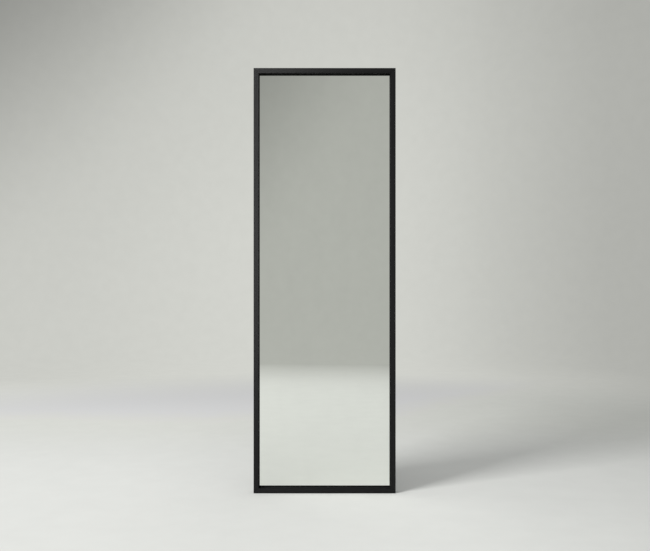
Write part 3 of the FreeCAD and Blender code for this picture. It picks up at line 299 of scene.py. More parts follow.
# %% Dress the parts
FINISHES = {
    "frame_aluminium": ANODISED_UPRIGHT,
    "cast_key": CAST,
    "gasket_rubber": RUBBER,
    "mirror_silver": MIRROR,
    "film_plastic": FILM,
    "foam": FOAM,
    "hardboard": BOARD,
    "coated_steel": POWDER,
    "zinc_steel": ZINC,
    "cage_steel": CAGE,
    "ball_steel": BALL,
    "nylon_white": NYLON,
    "rivet_aluminium": RIVET,
    "screw_steel": SCREW,
    "pin_steel": PIN,
    "housing_plastic": ABS,
    "magnet": NICKEL,
}
for name, part in NODES.items():
    slot = part.material_slots[0]
    slot.material = FINISHES[slot.material.name.split(".")[0]]
for name in ("frame_top_rail", "frame_bottom_rail"):
    NODES[name].material_slots[0].material = ANODISED_RAIL
print("finishes:", sorted({part.material_slots[0].material.name for part in NODES.values()}))

# %% [markdown]
# ## Turning on a lathe
# Screws, pins, bushes and magnets are round, so each is one line of points spun about an axis, like a turned
# piece in a workshop. A point is given as a radius and a height in millimetres. A third number rounds that
# corner with a bevel before the spin, which is quicker and cleaner than rounding the finished solid.

# %% Lathe helpers
def place_object(name, shape, material):
    """Turn a finished bmesh into an object at the origin, wearing one material."""
    mesh = bpy.data.meshes.new(name)
    shape.to_mesh(mesh)
    shape.free()
    mesh.materials.append(material)
    made = bpy.data.objects.new(name, mesh)
    bpy.context.scene.collection.objects.link(made)
    return made


def spun(points, steps=40, closed=False, unit=MM, segments=4):
    """Spin a line of (radius, height) or (radius, height, rounding) points round the upright axis."""
    shape = bmesh.new()
    line = [shape.verts.new((point[0] * unit, 0, point[1] * unit)) for point in points]
    for start, end in zip(line, line[1:] + line[:1] if closed else line[1:]):
        shape.edges.new((start, end))
    for corner, point in zip(line, points):
        if len(point) > 2:
            bmesh.ops.bevel(shape, geom=[corner], offset=point[2] * unit, segments=segments, profile=0.5,
                            affect="VERTICES", material=-1, offset_type="OFFSET")
    bmesh.ops.spin(shape, geom=shape.verts[:] + shape.edges[:], cent=(0, 0, 0), axis=(0, 0, 1),
                   angle=math.tau, steps=steps, use_merge=True)
    bmesh.ops.remove_doubles(shape, verts=shape.verts, dist=unit * 1e-3)
    bmesh.ops.recalc_face_normals(shape, faces=shape.faces)
    return shape


THREAD_DEPTH = 0.55  # share of its pitch that a thread is deep


def thread(radius, low, high, pitch):
    """Rings of a rolled thread; a helix with so small a lead can't be told from rings."""
    points = []
    for ring in range(int((high - low) / pitch)):
        points += [(radius - THREAD_DEPTH * pitch, low + ring * pitch), (radius, low + (ring + 0.5) * pitch)]
    return points


# %% [markdown]
# ## Recesses and flats
# A driver needs a recess. The top of a head is cut by flat planes into the outline of a cross or a hexagon,
# and the faces inside are pressed down and narrowed, as the punch does it. The flats of a nut are milled off
# a round blank in the same way, which leaves the curved chamfer that every real nut shows at its corners.

# %% Recess and flats helpers
def pressed(shape, planes, inside, depth, taper):
    """Cut the top by planes (a direction and a distance in mm), then press the faces inside down."""
    top = max(corner.co.z for corner in shape.verts)
    # Faces farther out than this aren't cut, so the rim of the head keeps its clean rings.
    reach = max(distance for _, distance in planes) * 1.6 * MM
    for direction, distance in planes:
        for side in (1, -1):
            near = [face for face in shape.faces if face.normal.z > 0.3
                    and face.calc_center_median().z > top - depth * MM
                    and face.calc_center_median().to_2d().length < reach]
            cut = near + list({edge for face in near for edge in face.edges})
            cut += list({corner for face in near for corner in face.verts})
            bmesh.ops.bisect_plane(shape, geom=cut, dist=1e-7, plane_co=direction * side * distance * MM,
                                   plane_no=direction)
    chosen = [face for face in shape.faces if face.normal.z > 0.3
              and face.calc_center_median().z > top - depth * MM and inside(face.calc_center_median() / MM)]
    moved = bmesh.ops.extrude_face_region(shape, geom=chosen)["geom"]
    corners = [part for part in moved if isinstance(part, bmesh.types.BMVert)]
    bmesh.ops.scale(shape, vec=(taper, taper, 0.0), verts=corners)
    bmesh.ops.translate(shape, vec=(0, 0, top - depth * MM), verts=corners)
    bmesh.ops.delete(shape, geom=[face for face in chosen if face.is_valid], context="FACES_KEEP_BOUNDARY")
    bmesh.ops.recalc_face_normals(shape, faces=shape.faces)
    return shape


def cross_pressed(shape, arm, slot, depth):
    """A cross recess whose arms reach out by arm and are 2 slot wide."""
    planes = [(Vector(axis), size) for axis in ((1, 0, 0), (0, 1, 0)) for size in (slot, arm)]
    return pressed(shape, planes, lambda p: min(abs(p.x), abs(p.y)) < slot and max(abs(p.x), abs(p.y)) < arm,
                   depth, 0.55)


def hexagon_directions():
    """The three directions across a hexagon's flats."""
    return [Vector((math.cos(math.radians(a)), math.sin(math.radians(a)), 0)) for a in (0, 60, 120)]


def hexagon_pressed(shape, flat, depth):
    """A hexagon socket; flat is half its width across the flats."""
    planes = [(direction, flat) for direction in hexagon_directions()]
    return pressed(shape, planes, lambda p: all(abs(p.dot(d)) < flat for d in hexagon_directions()),
                   depth, 0.98)


def sawn_off(shape, point, direction):
    """Saw off what lies past a plane, and close the cut."""
    cut = bmesh.ops.bisect_plane(shape, geom=shape.verts[:] + shape.edges[:] + shape.faces[:], dist=1e-7,
                                 plane_co=point, plane_no=direction, clear_outer=True)
    rim = [part for part in cut["geom_cut"] if isinstance(part, bmesh.types.BMEdge)]
    bmesh.ops.edgeloop_fill(shape, edges=rim)


def milled(shape, flat):
    """Mill six flats off a round blank; flat is half its width across them."""
    for direction in hexagon_directions():
        for side in (1, -1):
            sawn_off(shape, direction * side * flat * MM, direction * side)
    bmesh.ops.recalc_face_normals(shape, faces=shape.faces)
    return shape


# %% [markdown]
# ## Finding the places
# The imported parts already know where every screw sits. Each loose solid in a part is found by walking its
# edges, and its box gives the place. A copy of one finished screw then stands at each place, with its recess
# at an angle of its own, because nobody stops every screw at the same angle.

# %% Placing helpers
def solids(name):
    """Lowest and highest corner of each separate solid of a part, in order of place."""
    shape = bmesh.new()
    shape.from_mesh(NODES[name].data)
    bmesh.ops.remove_doubles(shape, verts=shape.verts, dist=1e-6)
    loose = set(shape.verts)
    boxes = []
    while loose:
        grown = [loose.pop()]
        for corner in grown:
            for edge in corner.link_edges:
                other = edge.other_vert(corner)
                if other in loose:
                    loose.discard(other)
                    grown.append(other)
        boxes.append((Vector([min(v.co[i] for v in grown) for i in range(3)]),
                      Vector([max(v.co[i] for v in grown) for i in range(3)])))
    shape.free()
    return sorted(boxes, key=lambda box: tuple(box[0]))


def seats(name, up, rise):
    """Where the heads of a part's fasteners sit: rise millimetres below their top, which looks along up."""
    up = Vector(up)
    found = []
    for low, high in solids(name):
        middle = (low + high) / 2
        half = abs((high - low).dot(up)) / 2
        found.append((middle + up * (half - rise * MM), up))
    return found


TURN_STEP = 0.65  # radians from one fastener to the next


def repeated(pattern, places):
    """One shape with a copy of a pattern at each place, each turned a little further round its own axis."""
    template = bpy.data.meshes.new("template")
    pattern.to_mesh(template)
    pattern.free()
    gathered = bmesh.new()
    for index, (place, up) in enumerate(places):
        known = len(gathered.verts)
        gathered.from_mesh(template)
        gathered.verts.ensure_lookup_table()
        turn = up.to_track_quat("Z", "Y").to_matrix().to_4x4() @ Matrix.Rotation(index * TURN_STEP, 4, "Z")
        bmesh.ops.transform(gathered, matrix=Matrix.Translation(place) @ turn, verts=gathered.verts[known:])
    bpy.data.meshes.remove(template)
    return gathered


def fitted(name, shape, material, body, slot, *nodes, sharp=32):
    """Make a piece that rides on a body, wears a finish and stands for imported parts."""
    made = place_object(name, shape, material)
    made.data.shade_smooth()
    made.data.set_sharp_from_angle(angle=math.radians(sharp))
    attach(made, body)
    if nodes:
        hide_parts(*nodes)
    print(name, len(made.data.polygons), "faces")
    return made


# %% [markdown]
# ## Screws, bolts and nuts
# The strips, the slides and the catches have M4 pan-head screws with a cross recess. The brackets have M5
# button-head bolts with a hexagon socket and plain nuts. A lathe line with one big rounding gives each head
# its dome, and the thread is a row of rings under it.

# %% Screws and bolts
def pan_screw(head, rise, shank, length):
    """A pan-head screw with a cross recess, its head on height 0."""
    body = [(0, -length), (shank * 0.7, -length)] + thread(shank, -length + 0.3, -0.3, 0.7)
    dome = [(shank * 0.82, 0), (head, 0, 0.15), (head, rise, rise * 0.72), (0, rise)]
    return cross_pressed(spun(body + dome, 36), head * 0.55, head * 0.13, rise * 0.6)


def button_bolt(head, rise, shank, length):
    """A button-head bolt with a hexagon socket, its head on height 0."""
    body = [(0, -length), (shank * 0.8, -length)] + thread(shank, -length + 0.3, -1.2, 0.8)
    dome = [(shank, -0.9), (shank, 0), (head, 0, 0.15), (head, rise * 0.45, 0.5), (head * 0.62, rise, 0.8),
            (0, rise)]
    return hexagon_pressed(spun(body + dome, 36), 1.6, rise * 0.55)


WALLWARD, OUTWARD = (0, 1, 0), (0, -1, 0)
screw = (4.0, 2.6, 2.0, 4.5)
fitted("strip_screws", repeated(pan_screw(*screw), seats("cross_strip_screws", WALLWARD, 2.6)), SCREW,
       "mirror_panel", "screw_steel", "cross_strip_screws")
fitted("post_screws", repeated(pan_screw(*screw), seats("carriage_screws", OUTWARD, 2.6)), SCREW,
       "carriage", "screw_steel", "carriage_screws")
fitted("housing_screws", repeated(pan_screw(*screw), seats("catch_screws", OUTWARD, 2.6)), SCREW,
       "carriage", "screw_steel", "catch_screws")
fitted("button_bolts", repeated(button_bolt(4.6, 3.2, 2.5, 9.6), seats("bracket_bolts", OUTWARD, 3.2)), SCREW,
       "carriage", "screw_steel", "bracket_bolts")


# %% Nuts
def plain_nut(corners, height, bore):
    """A hexagon nut on height 0: a chamfered round blank with six milled flats and a threaded bore."""
    flat = corners * math.cos(math.radians(30))
    outside = [(flat - 0.15, 0), (corners, 0.45), (corners, height - 0.45), (flat - 0.15, height)]
    blank = outside + [(bore + 0.5, height), (bore, height - 0.5)]
    blank += [(bore + 0.3, height * 0.5), (bore, 0.5), (bore + 0.5, 0)]
    return milled(spun(blank, 72, closed=True), flat)


fitted("plain_nuts", repeated(plain_nut(4.6, 4.0, 2.5), seats("bracket_nuts", WALLWARD, 4.0)), SCREW,
       "carriage", "screw_steel", "bracket_nuts")

# %% [markdown]
# ## The pivots
# The mirror turns on two shoulder bolts. Each has a knurled socket head under its tab, a smooth shoulder that
# runs in a flanged nylon bush, and a threaded tip with a washer and a locking nut. The nut's nylon ring grips
# the thread, so that it can be set with a little play and stay there. A dowel beside it ends the swing.

# %% The pivots
UPWARD, DOWNWARD = (0, 0, 1), (0, 0, -1)
KNURL_STEPS, KNURL_ROOT = 72, 0.965  # corners round the head, and the radius of its grooves against its own


def shoulder_bolt(head, rise, shank, length, plain):
    """A knurled socket-head bolt with a plain shoulder, its head on height 0 and looking up."""
    body = [(0, -length), (shank * 0.8, -length)] + thread(shank, -length + 0.5, -plain, 1.0)
    top = [(shank, -plain + 0.2), (shank, 0), (head, 0, 0.2), (head, 0.8), (head, rise - 0.8),
           (head, rise, 0.5), (head * 0.5, rise), (0, rise)]
    shape = spun(body + top, KNURL_STEPS)
    for corner in shape.verts:
        around = round(math.atan2(corner.co.y, corner.co.x) / math.tau * KNURL_STEPS)
        if around % 2 and 0.7 * MM < corner.co.z < (rise - 0.7) * MM:
            corner.co.xy *= KNURL_ROOT
    return hexagon_pressed(shape, 3.0, 3.0)


def lock_nut(corners, height, bore):
    """A hexagon nut with a rolled collar that holds a nylon ring."""
    flat = corners * math.cos(math.radians(30))
    outside = [(flat - 0.2, 0), (corners, 0.7), (corners, 4.4), (flat - 0.3, 5.0), (flat - 0.3, height, 0.7)]
    inside = [(bore + 1.1, height), (bore + 1.1, 5.5), (bore, 5.5), (bore, 0.6), (bore + 0.6, 0)]
    return milled(spun(outside + inside, 72, closed=True), flat)


ring = [(4.02, 5.5), (5.1, 5.5), (5.1, 6.5, 0.3), (4.02, 6.5, 0.3)]
washer = [(4.1, 0, 0.2), (7.0, 0, 0.35), (7.0, 1.2, 0.35), (4.1, 1.2, 0.2)]
bush = [(4.05, 0, 0.2), (7.0, 0, 0.3), (7.0, 1.5, 0.4), (4.95, 1.5, 0.25), (4.95, 3.8, 0.2),
        (4.05, 3.8, 0.35)]
dowel = [(0, 0), (2.0, 0, 0.3), (2.0, 6.6, 0.8), (0, 6.6)]
for level in ("upper", "lower"):
    bolt = repeated(shoulder_bolt(6.5, 5.0, 4.0, 16.5, 8.4), seats(f"pivot_pin_{level}", DOWNWARD, 5.0))
    fitted(f"shoulder_bolt_{level}", bolt, PIN, "carriage", "pin_steel", f"pivot_pin_{level}")
    sleeve = repeated(spun(bush, 48, closed=True), seats(f"pivot_bush_{level}", UPWARD, 3.8))
    fitted(f"flanged_bush_{level}", sleeve, NYLON, "mirror_panel", "nylon_white", f"pivot_bush_{level}")
fitted("washers", repeated(spun(washer, 48, closed=True), seats("pivot_washers", UPWARD, 1.2)), SCREW,
       "carriage", "screw_steel", "pivot_washers")
fitted("lock_nuts", repeated(lock_nut(7.5, 6.8, 4.0), seats("pivot_nuts", UPWARD, 6.8)), SCREW,
       "carriage", "screw_steel", "pivot_nuts")
fitted("lock_nut_rings", repeated(spun(ring, 48, closed=True), seats("pivot_nuts", UPWARD, 6.8)), NYLON,
       "carriage", "nylon_white")
fitted("swing_dowels", repeated(spun(dowel, 32), seats("swivel_stop_pins", UPWARD, 6.6)), PIN,
       "carriage", "pin_steel", "swivel_stop_pins")

# %% [markdown]
# ## Magnets, strike plates and rivets
# These are turned too. A magnet has a rounded rim, because nickel plating won't hold on a sharp one. A strike
# plate has a shallow dimple in its middle. The blind rivets in the end stops keep the small hole that their
# broken mandrel leaves.

# %% Magnets, strike plates and rivets
magnet = [(0, 0), (6.0, 0, 0.2), (6.0, 3.0, 0.45), (0, 3.0)]
strike = [(0, 0), (8.0, 0, 0.1), (8.0, 1.5, 0.5), (1.4, 1.5), (0.5, 0.7), (0, 0.7)]
rivet = [(0, 0), (1.6, 0, 0.2), (1.6, 10.7), (3.2, 10.7, 0.1), (3.2, 11.9, 1.0), (0.9, 11.9, 0.1),
         (0.8, 11.1), (0, 11.1)]
fitted("magnet_discs", repeated(spun(magnet, 48), seats("catch_magnets", OUTWARD, 3.0)), NICKEL,
       "carriage", "magnet", "catch_magnets")
fitted("strike_discs", repeated(spun(strike, 48), seats("strike_plates", WALLWARD, 1.5)), PIN,
       "mirror_panel", "pin_steel", "strike_plates")
fitted("blind_rivets", repeated(spun(rivet, 32), seats("stop_rivets", OUTWARD, 11.9)), RIVET,
       "fixed_rails", "rivet_aluminium", "stop_rivets")

# %% [markdown]
# ## The glazing gasket
# A strip of rubber lies in the frame's groove, in front of the glass, and shows by a millimetre and a half.
# Its lip is rounded, and the four strips meet in mitres. Each starts as a box, is cut at both ends by a
# slanting plane, and gets its lip from a bevel.

# %% The glazing gasket
GASKET_WIDTH, GASKET_THICKNESS = 6.5, 1.0
GASKET_DEPTH = 44.5  # from the wardrobe's side panel to the middle of the gasket's thickness


def gasket(tip, half, turn):
    """A strip whose lip ends tip millimetres from the middle, mitred where the next one starts at half."""
    shape = bmesh.new()
    bmesh.ops.create_cube(shape, size=MM)
    size = (GASKET_WIDTH, GASKET_THICKNESS, 2 * (half + GASKET_WIDTH))
    bmesh.ops.scale(shape, vec=size, verts=shape.verts)
    bmesh.ops.translate(shape, vec=Vector((tip + GASKET_WIDTH / 2, -GASKET_DEPTH, 0)) * MM, verts=shape.verts)
    for end in (1, -1):
        sawn_off(shape, Vector((tip, -GASKET_DEPTH, end * half)) * MM, Vector((-1, 0, end)).normalized())
    lip = [edge for edge in shape.edges if edge.calc_length() > half * MM
           and all(abs(corner.co.x - tip * MM) < 1e-6 for corner in edge.verts)]
    bmesh.ops.bevel(shape, geom=lip, offset=0.48 * MM, segments=5, profile=0.5, affect="EDGES", material=-1)
    bmesh.ops.rotate(shape, cent=(0, 0, 0), matrix=Matrix.Rotation(math.radians(turn), 3, "Y"),
                     verts=shape.verts)
    bmesh.ops.recalc_face_normals(shape, faces=shape.faces)
    return shape


TIP_X, TIP_Z = 153.5, 486.5  # from the middle of the glass to a lip, sideways and upwards
for side, tip, half, turn in (("right", TIP_X, TIP_Z, 0), ("left", TIP_X, TIP_Z, 180),
                              ("top", TIP_Z, TIP_X, -90), ("bottom", TIP_Z, TIP_X, 90)):
    fitted(f"glazing_lip_{side}", gasket(tip, half, turn), RUBBER, "mirror_panel", "gasket_rubber",
           f"gasket_{side}")

# %% [markdown]
# ## Folded and moulded parts
# Punched and folded steel, and moulded plastic, never have knife edges, and it is the thin line of light on a
# rounded edge that makes metal look like metal. A merged copy of each part keeps its shape, its flat faces
# are joined again, and every edge sharper than a fold is bevelled by a few tenths of a millimetre. The outer
# member of a slide is punched first, since a real one has a row of slots and holes for its screws.

# %% Rounding helpers
def merged(name):
    """A copy of a part whose loose triangles are joined into whole faces."""
    shape = bmesh.new()
    shape.from_mesh(NODES[name].data)
    bmesh.ops.remove_doubles(shape, verts=shape.verts, dist=1e-6)
    bmesh.ops.dissolve_limit(shape, angle_limit=math.radians(0.5), verts=shape.verts, edges=shape.edges)
    return shape


def softened(shape, width):
    """Round every edge sharper than a fold by width millimetres."""
    edges = [edge for edge in shape.edges if edge.is_manifold and edge.calc_face_angle() > math.radians(38)]
    bmesh.ops.bevel(shape, geom=edges, offset=width * MM, segments=2, profile=0.5, affect="EDGES",
                    material=-1, clamp_overlap=True, offset_type="OFFSET")
    bmesh.ops.recalc_face_normals(shape, faces=shape.faces)
    return shape


def flat_faced(made):
    """Let large flat faces keep their own direction beside rounded edges."""
    made.modifiers.new("flat_faces_stay_flat", "WEIGHTED_NORMAL").keep_sharp = True


# %% Punching helpers
PUNCH_STROKE = 6  # millimetres, half of it on each side of the web's back


def punches(holes):
    """A punch for each hole: x, z, radius, and how far it is drawn out along x and along z."""
    tool = bmesh.new()
    for x, z, radius, along, across in holes:
        rim = bmesh.ops.create_circle(tool, cap_ends=True, segments=24, radius=radius)["verts"]
        for corner in rim:
            corner.co.x += x + math.copysign(along / 2, corner.co.x)
            corner.co.y += z + math.copysign(across / 2, corner.co.y)
            corner.co.z = -PUNCH_STROKE / 2
        moved = bmesh.ops.extrude_face_region(tool, geom=rim[0].link_faces[:])["geom"]
        bmesh.ops.translate(tool, vec=(0, 0, PUNCH_STROKE),
                            verts=[part for part in moved if isinstance(part, bmesh.types.BMVert)])
    bmesh.ops.scale(tool, vec=(MM, MM, MM), verts=tool.verts)
    bmesh.ops.rotate(tool, cent=(0, 0, 0), matrix=Matrix.Rotation(math.radians(90), 3, "X"), verts=tool.verts)
    bmesh.ops.recalc_face_normals(tool, faces=tool.faces)
    return tool


def punched(shape, tool):
    """Cut the punches out of a slide's web, with a modifier that is read back as a mesh."""
    blank = place_object("blank", shape, ZINC)
    punch = place_object("punch", tool, ZINC)
    cut = blank.modifiers.new("punch", "BOOLEAN")
    cut.object = punch
    cut.solver = "EXACT"
    done = bpy.data.meshes.new_from_object(blank.evaluated_get(bpy.context.evaluated_depsgraph_get()))
    result = bmesh.new()
    result.from_mesh(done)
    for spent in (blank, punch):
        bpy.data.meshes.remove(spent.data)
    bpy.data.meshes.remove(done)
    return result


# %% Folded and moulded parts
HOLES = [(-85, 0, 2.3, 5.0, 0.0), (-62, 0, 1.9, 0.0, 0.0), (-38, 0, 2.3, 0.0, 5.0), (-14, 0, 1.9, 0.0, 0.0),
         (12, 0, 2.3, 5.0, 0.0), (36, 0, 1.9, 0.0, 0.0), (60, 0, 2.3, 0.0, 5.0), (86, 0, 2.3, 5.0, 0.0),
         (134, 8, 1.6, 3.0, 0.0), (134, -8, 1.6, 3.0, 0.0)]
SLIDE_HEIGHT = 256  # from the middle of the object to the middle of a slide
flat_faced(fitted("folded_post", softened(merged("carriage_post"), 0.3), POWDER, "carriage", "coated_steel",
                  "carriage_post", sharp=50))
for level, height in (("upper", SLIDE_HEIGHT), ("lower", -SLIDE_HEIGHT)):
    web = punched(merged(f"slide_outer_{level}"), punches([(x, height + z, *rest) for x, z, *rest in HOLES]))
    for name, node_name, width, material, body, slot in (
            ("folded_bracket", "pivot_bracket", 0.35, POWDER, "carriage", "coated_steel"),
            ("back_strip", "cross_strip", 0.3, POWDER, "mirror_panel", "coated_steel"),
            ("catch_block", "magnet_housing", 0.6, ABS, "carriage", "housing_plastic"),
            ("end_stop", "rear_stop", 0.6, NYLON, "fixed_rails", "nylon_white"),
            ("rail_middle", "slide_middle", 0.2, ZINC, f"middle_{level}", "zinc_steel"),
            ("rail_inner", "slide_inner", 0.2, ZINC, "carriage", "zinc_steel"),
            ("rail_outer", "slide_outer", 0.2, ZINC, "fixed_rails", "zinc_steel")):
        shape = web if name == "rail_outer" else merged(f"{node_name}_{level}")
        flat_faced(fitted(f"{name}_{level}", softened(shape, width), material, body, slot,
                          f"{node_name}_{level}", sharp=50))

# %% [markdown]
# ## The joints of the frame
# The frame's four members are sawn at a slant and drawn together by keys inside. However well that is done, a
# joint shows as a hairline. Every corner that lies in a joint's plane is therefore drawn back by a hair along
# its member, which opens a gap of a fifth of a millimetre.

# %% The joints of the frame
HALF_WIDTH, HALF_HEIGHT = 167.0, 500.0
HAIR = 0.13  # along each member, so a joint opens by twice this times the sine of 45 degrees


def drawn_back(shape, axis):
    """Shorten a member by a hair at both of its slanted ends; axis is 0 for a rail and 2 for a stile."""
    moved = 0
    for corner in shape.verts:
        in_x = HALF_WIDTH - abs(corner.co.x) / MM
        in_z = HALF_HEIGHT - abs(corner.co.z) / MM
        if abs(in_x - in_z) < 0.05:
            corner.co[axis] -= math.copysign(HAIR * MM, corner.co[axis])
            moved += 1
    print("corners in the joints:", moved)
    return shape


frame_members = bpy.data.collections.new("frame_members")
for member, material, axis in (("left_stile", ANODISED_UPRIGHT, 2), ("right_stile", ANODISED_UPRIGHT, 2),
                               ("top_rail", ANODISED_RAIL, 0), ("bottom_rail", ANODISED_RAIL, 0)):
    made = fitted(f"sawn_{member}", drawn_back(merged(f"frame_{member}"), axis), material, "mirror_panel",
                  "frame_aluminium", f"frame_{member}", sharp=50)
    flat_faced(made)
    frame_members.objects.link(made)

# %% [markdown]
# ## Light
# A soft box stands at the front left, a little above the object. It throws the soft shadow to the right. A
# narrow strip stands nearer to the eye, and all it does is to lay a sheen on the left upright, as a satin
# surface shows a lamp only near the mirror direction. It lights the frame's members and nothing else, or the
# glass would show it as a white bar. An even sky fills the rest, so black parts keep shape.

# %% Light
def lamp(name, place, width, height, power):
    """Stand a rectangular lamp at a place in metres and turn it to the middle of the object."""
    data = bpy.data.lights.new(name, "AREA")
    data.shape = "RECTANGLE"
    data.size = width
    data.size_y = height
    data.energy = power
    made = bpy.data.objects.new(name, data)
    made.location = place
    made.rotation_euler = Vector(place).to_track_quat("Z", "Y").to_euler()
    bpy.context.scene.collection.objects.link(made)
    return made


SKY = 0.48
soft_box = lamp("soft_box", (-1.742, -1.495, 1.219), 0.96, 0.96, 60.0)
strip = lamp("sheen_strip", (-0.50, -2.65, 0.45), 0.16, 1.9, 16.0)
strip.light_linking.receiver_collection = frame_members

world = bpy.data.worlds.new("even_sky")
world.use_nodes = True
background = world.node_tree.nodes["Background"]
background.inputs["Color"].default_value = colour("#fdfefe")
background.inputs["Strength"].default_value = SKY
bpy.context.scene.world = world
bpy.context.scene.view_settings.view_transform = "Standard"
print("soft box at", [round(c, 2) for c in soft_box.location])

# %% [markdown]
# ## The studio sweep
# The object stands in a round, pale studio: a floor that turns up into a wall through a small cove. A round
# wall works for a camera on any side. It is made from three points, a corner that is bevelled into the cove,
# and one spin. The bevel is a hair smaller than the room for it, so that no two points meet.

# %% The studio sweep
FLOOR, WALL_RADIUS, WALL_TOP, COVE = -0.5, 3.2, 2.3, 0.25  # metres
FOOT = WALL_RADIUS - COVE
floor_shape = spun([(0, FLOOR), (FOOT, FLOOR)], 128, unit=1)
bend = [(FOOT, FLOOR), (WALL_RADIUS, FLOOR, COVE * 0.999), (WALL_RADIUS, WALL_TOP)]
wall_shape = spun(bend, 128, unit=1, segments=12)
print("faces of the floor:", len(floor_shape.faces), "faces of the wall:", len(wall_shape.faces))

# %% [markdown]
# ## Tones of the paint
# The paint is graded with painted light and shade: bright on the floor round the object, a step darker behind
# it, and darker again behind the eye, which is the part that the mirror shows. These steps paint how the
# lamps at the front left light the room; they are not a change in the paint itself. One ramp carries the
# tones along the room, from behind the eye to behind the object. A second one dims them across the room, from
# left to right, as painted shade away from the lamps. Each stop goes with a place in metres from the middle.

# %% Tones of the paint
# Painted light and shade along the room: brighter round the object, darker behind it and darker still behind
# the eye.
FLOOR_TONES = [(-3.15, "#b2b3ae"), (-2.8, "#c9cac5"), (-2.4, "#dbdcd8"), (-2.05, "#e9eae6"),
               (-1.6, "#eff0ec"), (-0.9, "#eff0ec"), (-0.4, "#ebece8"), (0.15, "#e8e9e5"), (0.45, "#e2e3df"),
               (0.8, "#dcddd7"), (1.2, "#dbdcd6"), (3.2, "#dbdcd6")]
WALL_TONES = [(-3.2, "#b6b7b2"), (-1.2, "#c6c7c2"), (0.8, "#d3d4ce"), (3.2, "#d3d4ce")]
# Painted shade across the room: the tones dim towards the right, away from the lamps.
FLOOR_SHADE_ACROSS = [(-3.2, 0.97), (-1.0, 1.0), (-0.45, 0.98), (-0.2, 0.92), (0.2, 0.90), (0.45, 0.83), (0.9, 0.71),
               (1.6, 0.57), (3.2, 0.52)]
WALL_SHADE_ACROSS = [(-3.2, 0.91), (-1.5, 0.91), (-0.9, 0.97), (-0.3, 1.0), (0.25, 0.99), (0.6, 0.95), (1.0, 0.84),
              (1.6, 0.66), (3.2, 0.59)]
REACH = 3.2  # the ramps run from here on one side of the middle to here on the other


def ramp_along(tree, value, tones):
    """Grade tones along one axis of the room; a tone is a hex colour or a factor."""
    where = node(tree, "ShaderNodeMapRange", {"Value": value, "From Min": -REACH, "From Max": REACH})
    stops = node(tree, "ShaderNodeValToRGB", {"Fac": where.outputs[0]})
    ramp = stops.color_ramp
    ramp.interpolation = "B_SPLINE"
    while len(ramp.elements) < len(tones):
        ramp.elements.new(0.5)
    for element, (place, tone) in zip(ramp.elements, tones):
        element.position = (place + REACH) / (2 * REACH)
        element.color = colour(tone) if isinstance(tone, str) else (tone, tone, tone, 1.0)
    return stops.outputs[0]


def graded(tree, axes, tones, sides):
    """The paint's tone with its painted light and shade, graded along the room and then across it."""
    along = ramp_along(tree, axes["Y"], tones)
    across = ramp_along(tree, axes["X"], sides)
    return node(tree, "ShaderNodeVectorMath", {0: along, 1: across}, operation="MULTIPLY").outputs[0]


print("tones along the room:", len(FLOOR_TONES), "on the floor and", len(WALL_TONES), "on the wall")

# %% [markdown]
# ## Dim corners, and who sees the paint
# Brushed paint is never quite even, and a studio gets dimmer towards its top. Both are factors on the tone.
# The tone is shown as it is to the eye, and to the mirror and the metal, which must show the same room. Light
# Path tells those rays from the ones that only gather light.

# %% Dim corners, and who sees the paint
# Up and a little to the left, up to the left, and up to the left behind the eye: where a dimming starts and
# ends in metres along its direction, and the share of light that is left at its end.
SHADES = [((-0.4, 0.0, 1.0), 0.2, 2.2, 0.88), ((-0.72, 0.0, 0.69), 1.3, 3.0, 0.38),
          ((-0.84, -1.0, 0.54), 3.5, 4.7, 0.53)]


def dimmed(tree, place):
    """The share of its tone that the paint shows at a place."""
    level = node(tree, "ShaderNodeMapRange", {"Value": grain(tree, 60.0, detail=5.0), "From Min": 0.3,
                                              "From Max": 0.7, "To Min": 0.988, "To Max": 1.012})
    for direction, start, end, dimmest in SHADES:
        out = node(tree, "ShaderNodeVectorMath", {0: place, 1: direction}, operation="DOT_PRODUCT")
        shaded = node(tree, "ShaderNodeMapRange", {"Value": out.outputs["Value"], "From Min": start,
                                                   "From Max": end, "To Min": 1.0, "To Max": dimmest},
                      interpolation_type="SMOOTHSTEP")
        level = node(tree, "ShaderNodeMath", {0: level.outputs[0], 1: shaded.outputs[0]},
                     operation="MULTIPLY")
    return level.outputs[0]


def shown_rays(tree):
    """One for a ray from the eye, the mirror or metal, and nought for one that only gathers light."""
    rays = node(tree, "ShaderNodeLightPath").outputs
    seen = node(tree, "ShaderNodeMath", {0: rays["Is Camera Ray"], 1: rays["Is Glossy Ray"]},
                operation="MAXIMUM")
    return node(tree, "ShaderNodeMath", {0: seen.outputs[0], 1: rays["Is Transmission Ray"]},
                operation="MAXIMUM").outputs[0]


print("dimmings towards the top:", len(SHADES))

# %% [markdown]
# ## Floor paint that takes the shadow
# Near the object the floor is matt paint under the lamps, or it could not show a shadow. A lamp lights what
# is near it more, which would spoil the tones. Its light falls with the square of the distance, and the slant
# of the lamp and that of the floor take one more power each. The paint is divided by that light, so an open
# floor comes out even, and only the place where the object stands in the lamp's way comes out darker.

# %% Floor paint that takes the shadow
BRIGHTEST = 0.9  # the largest share of light that matt paint throws back


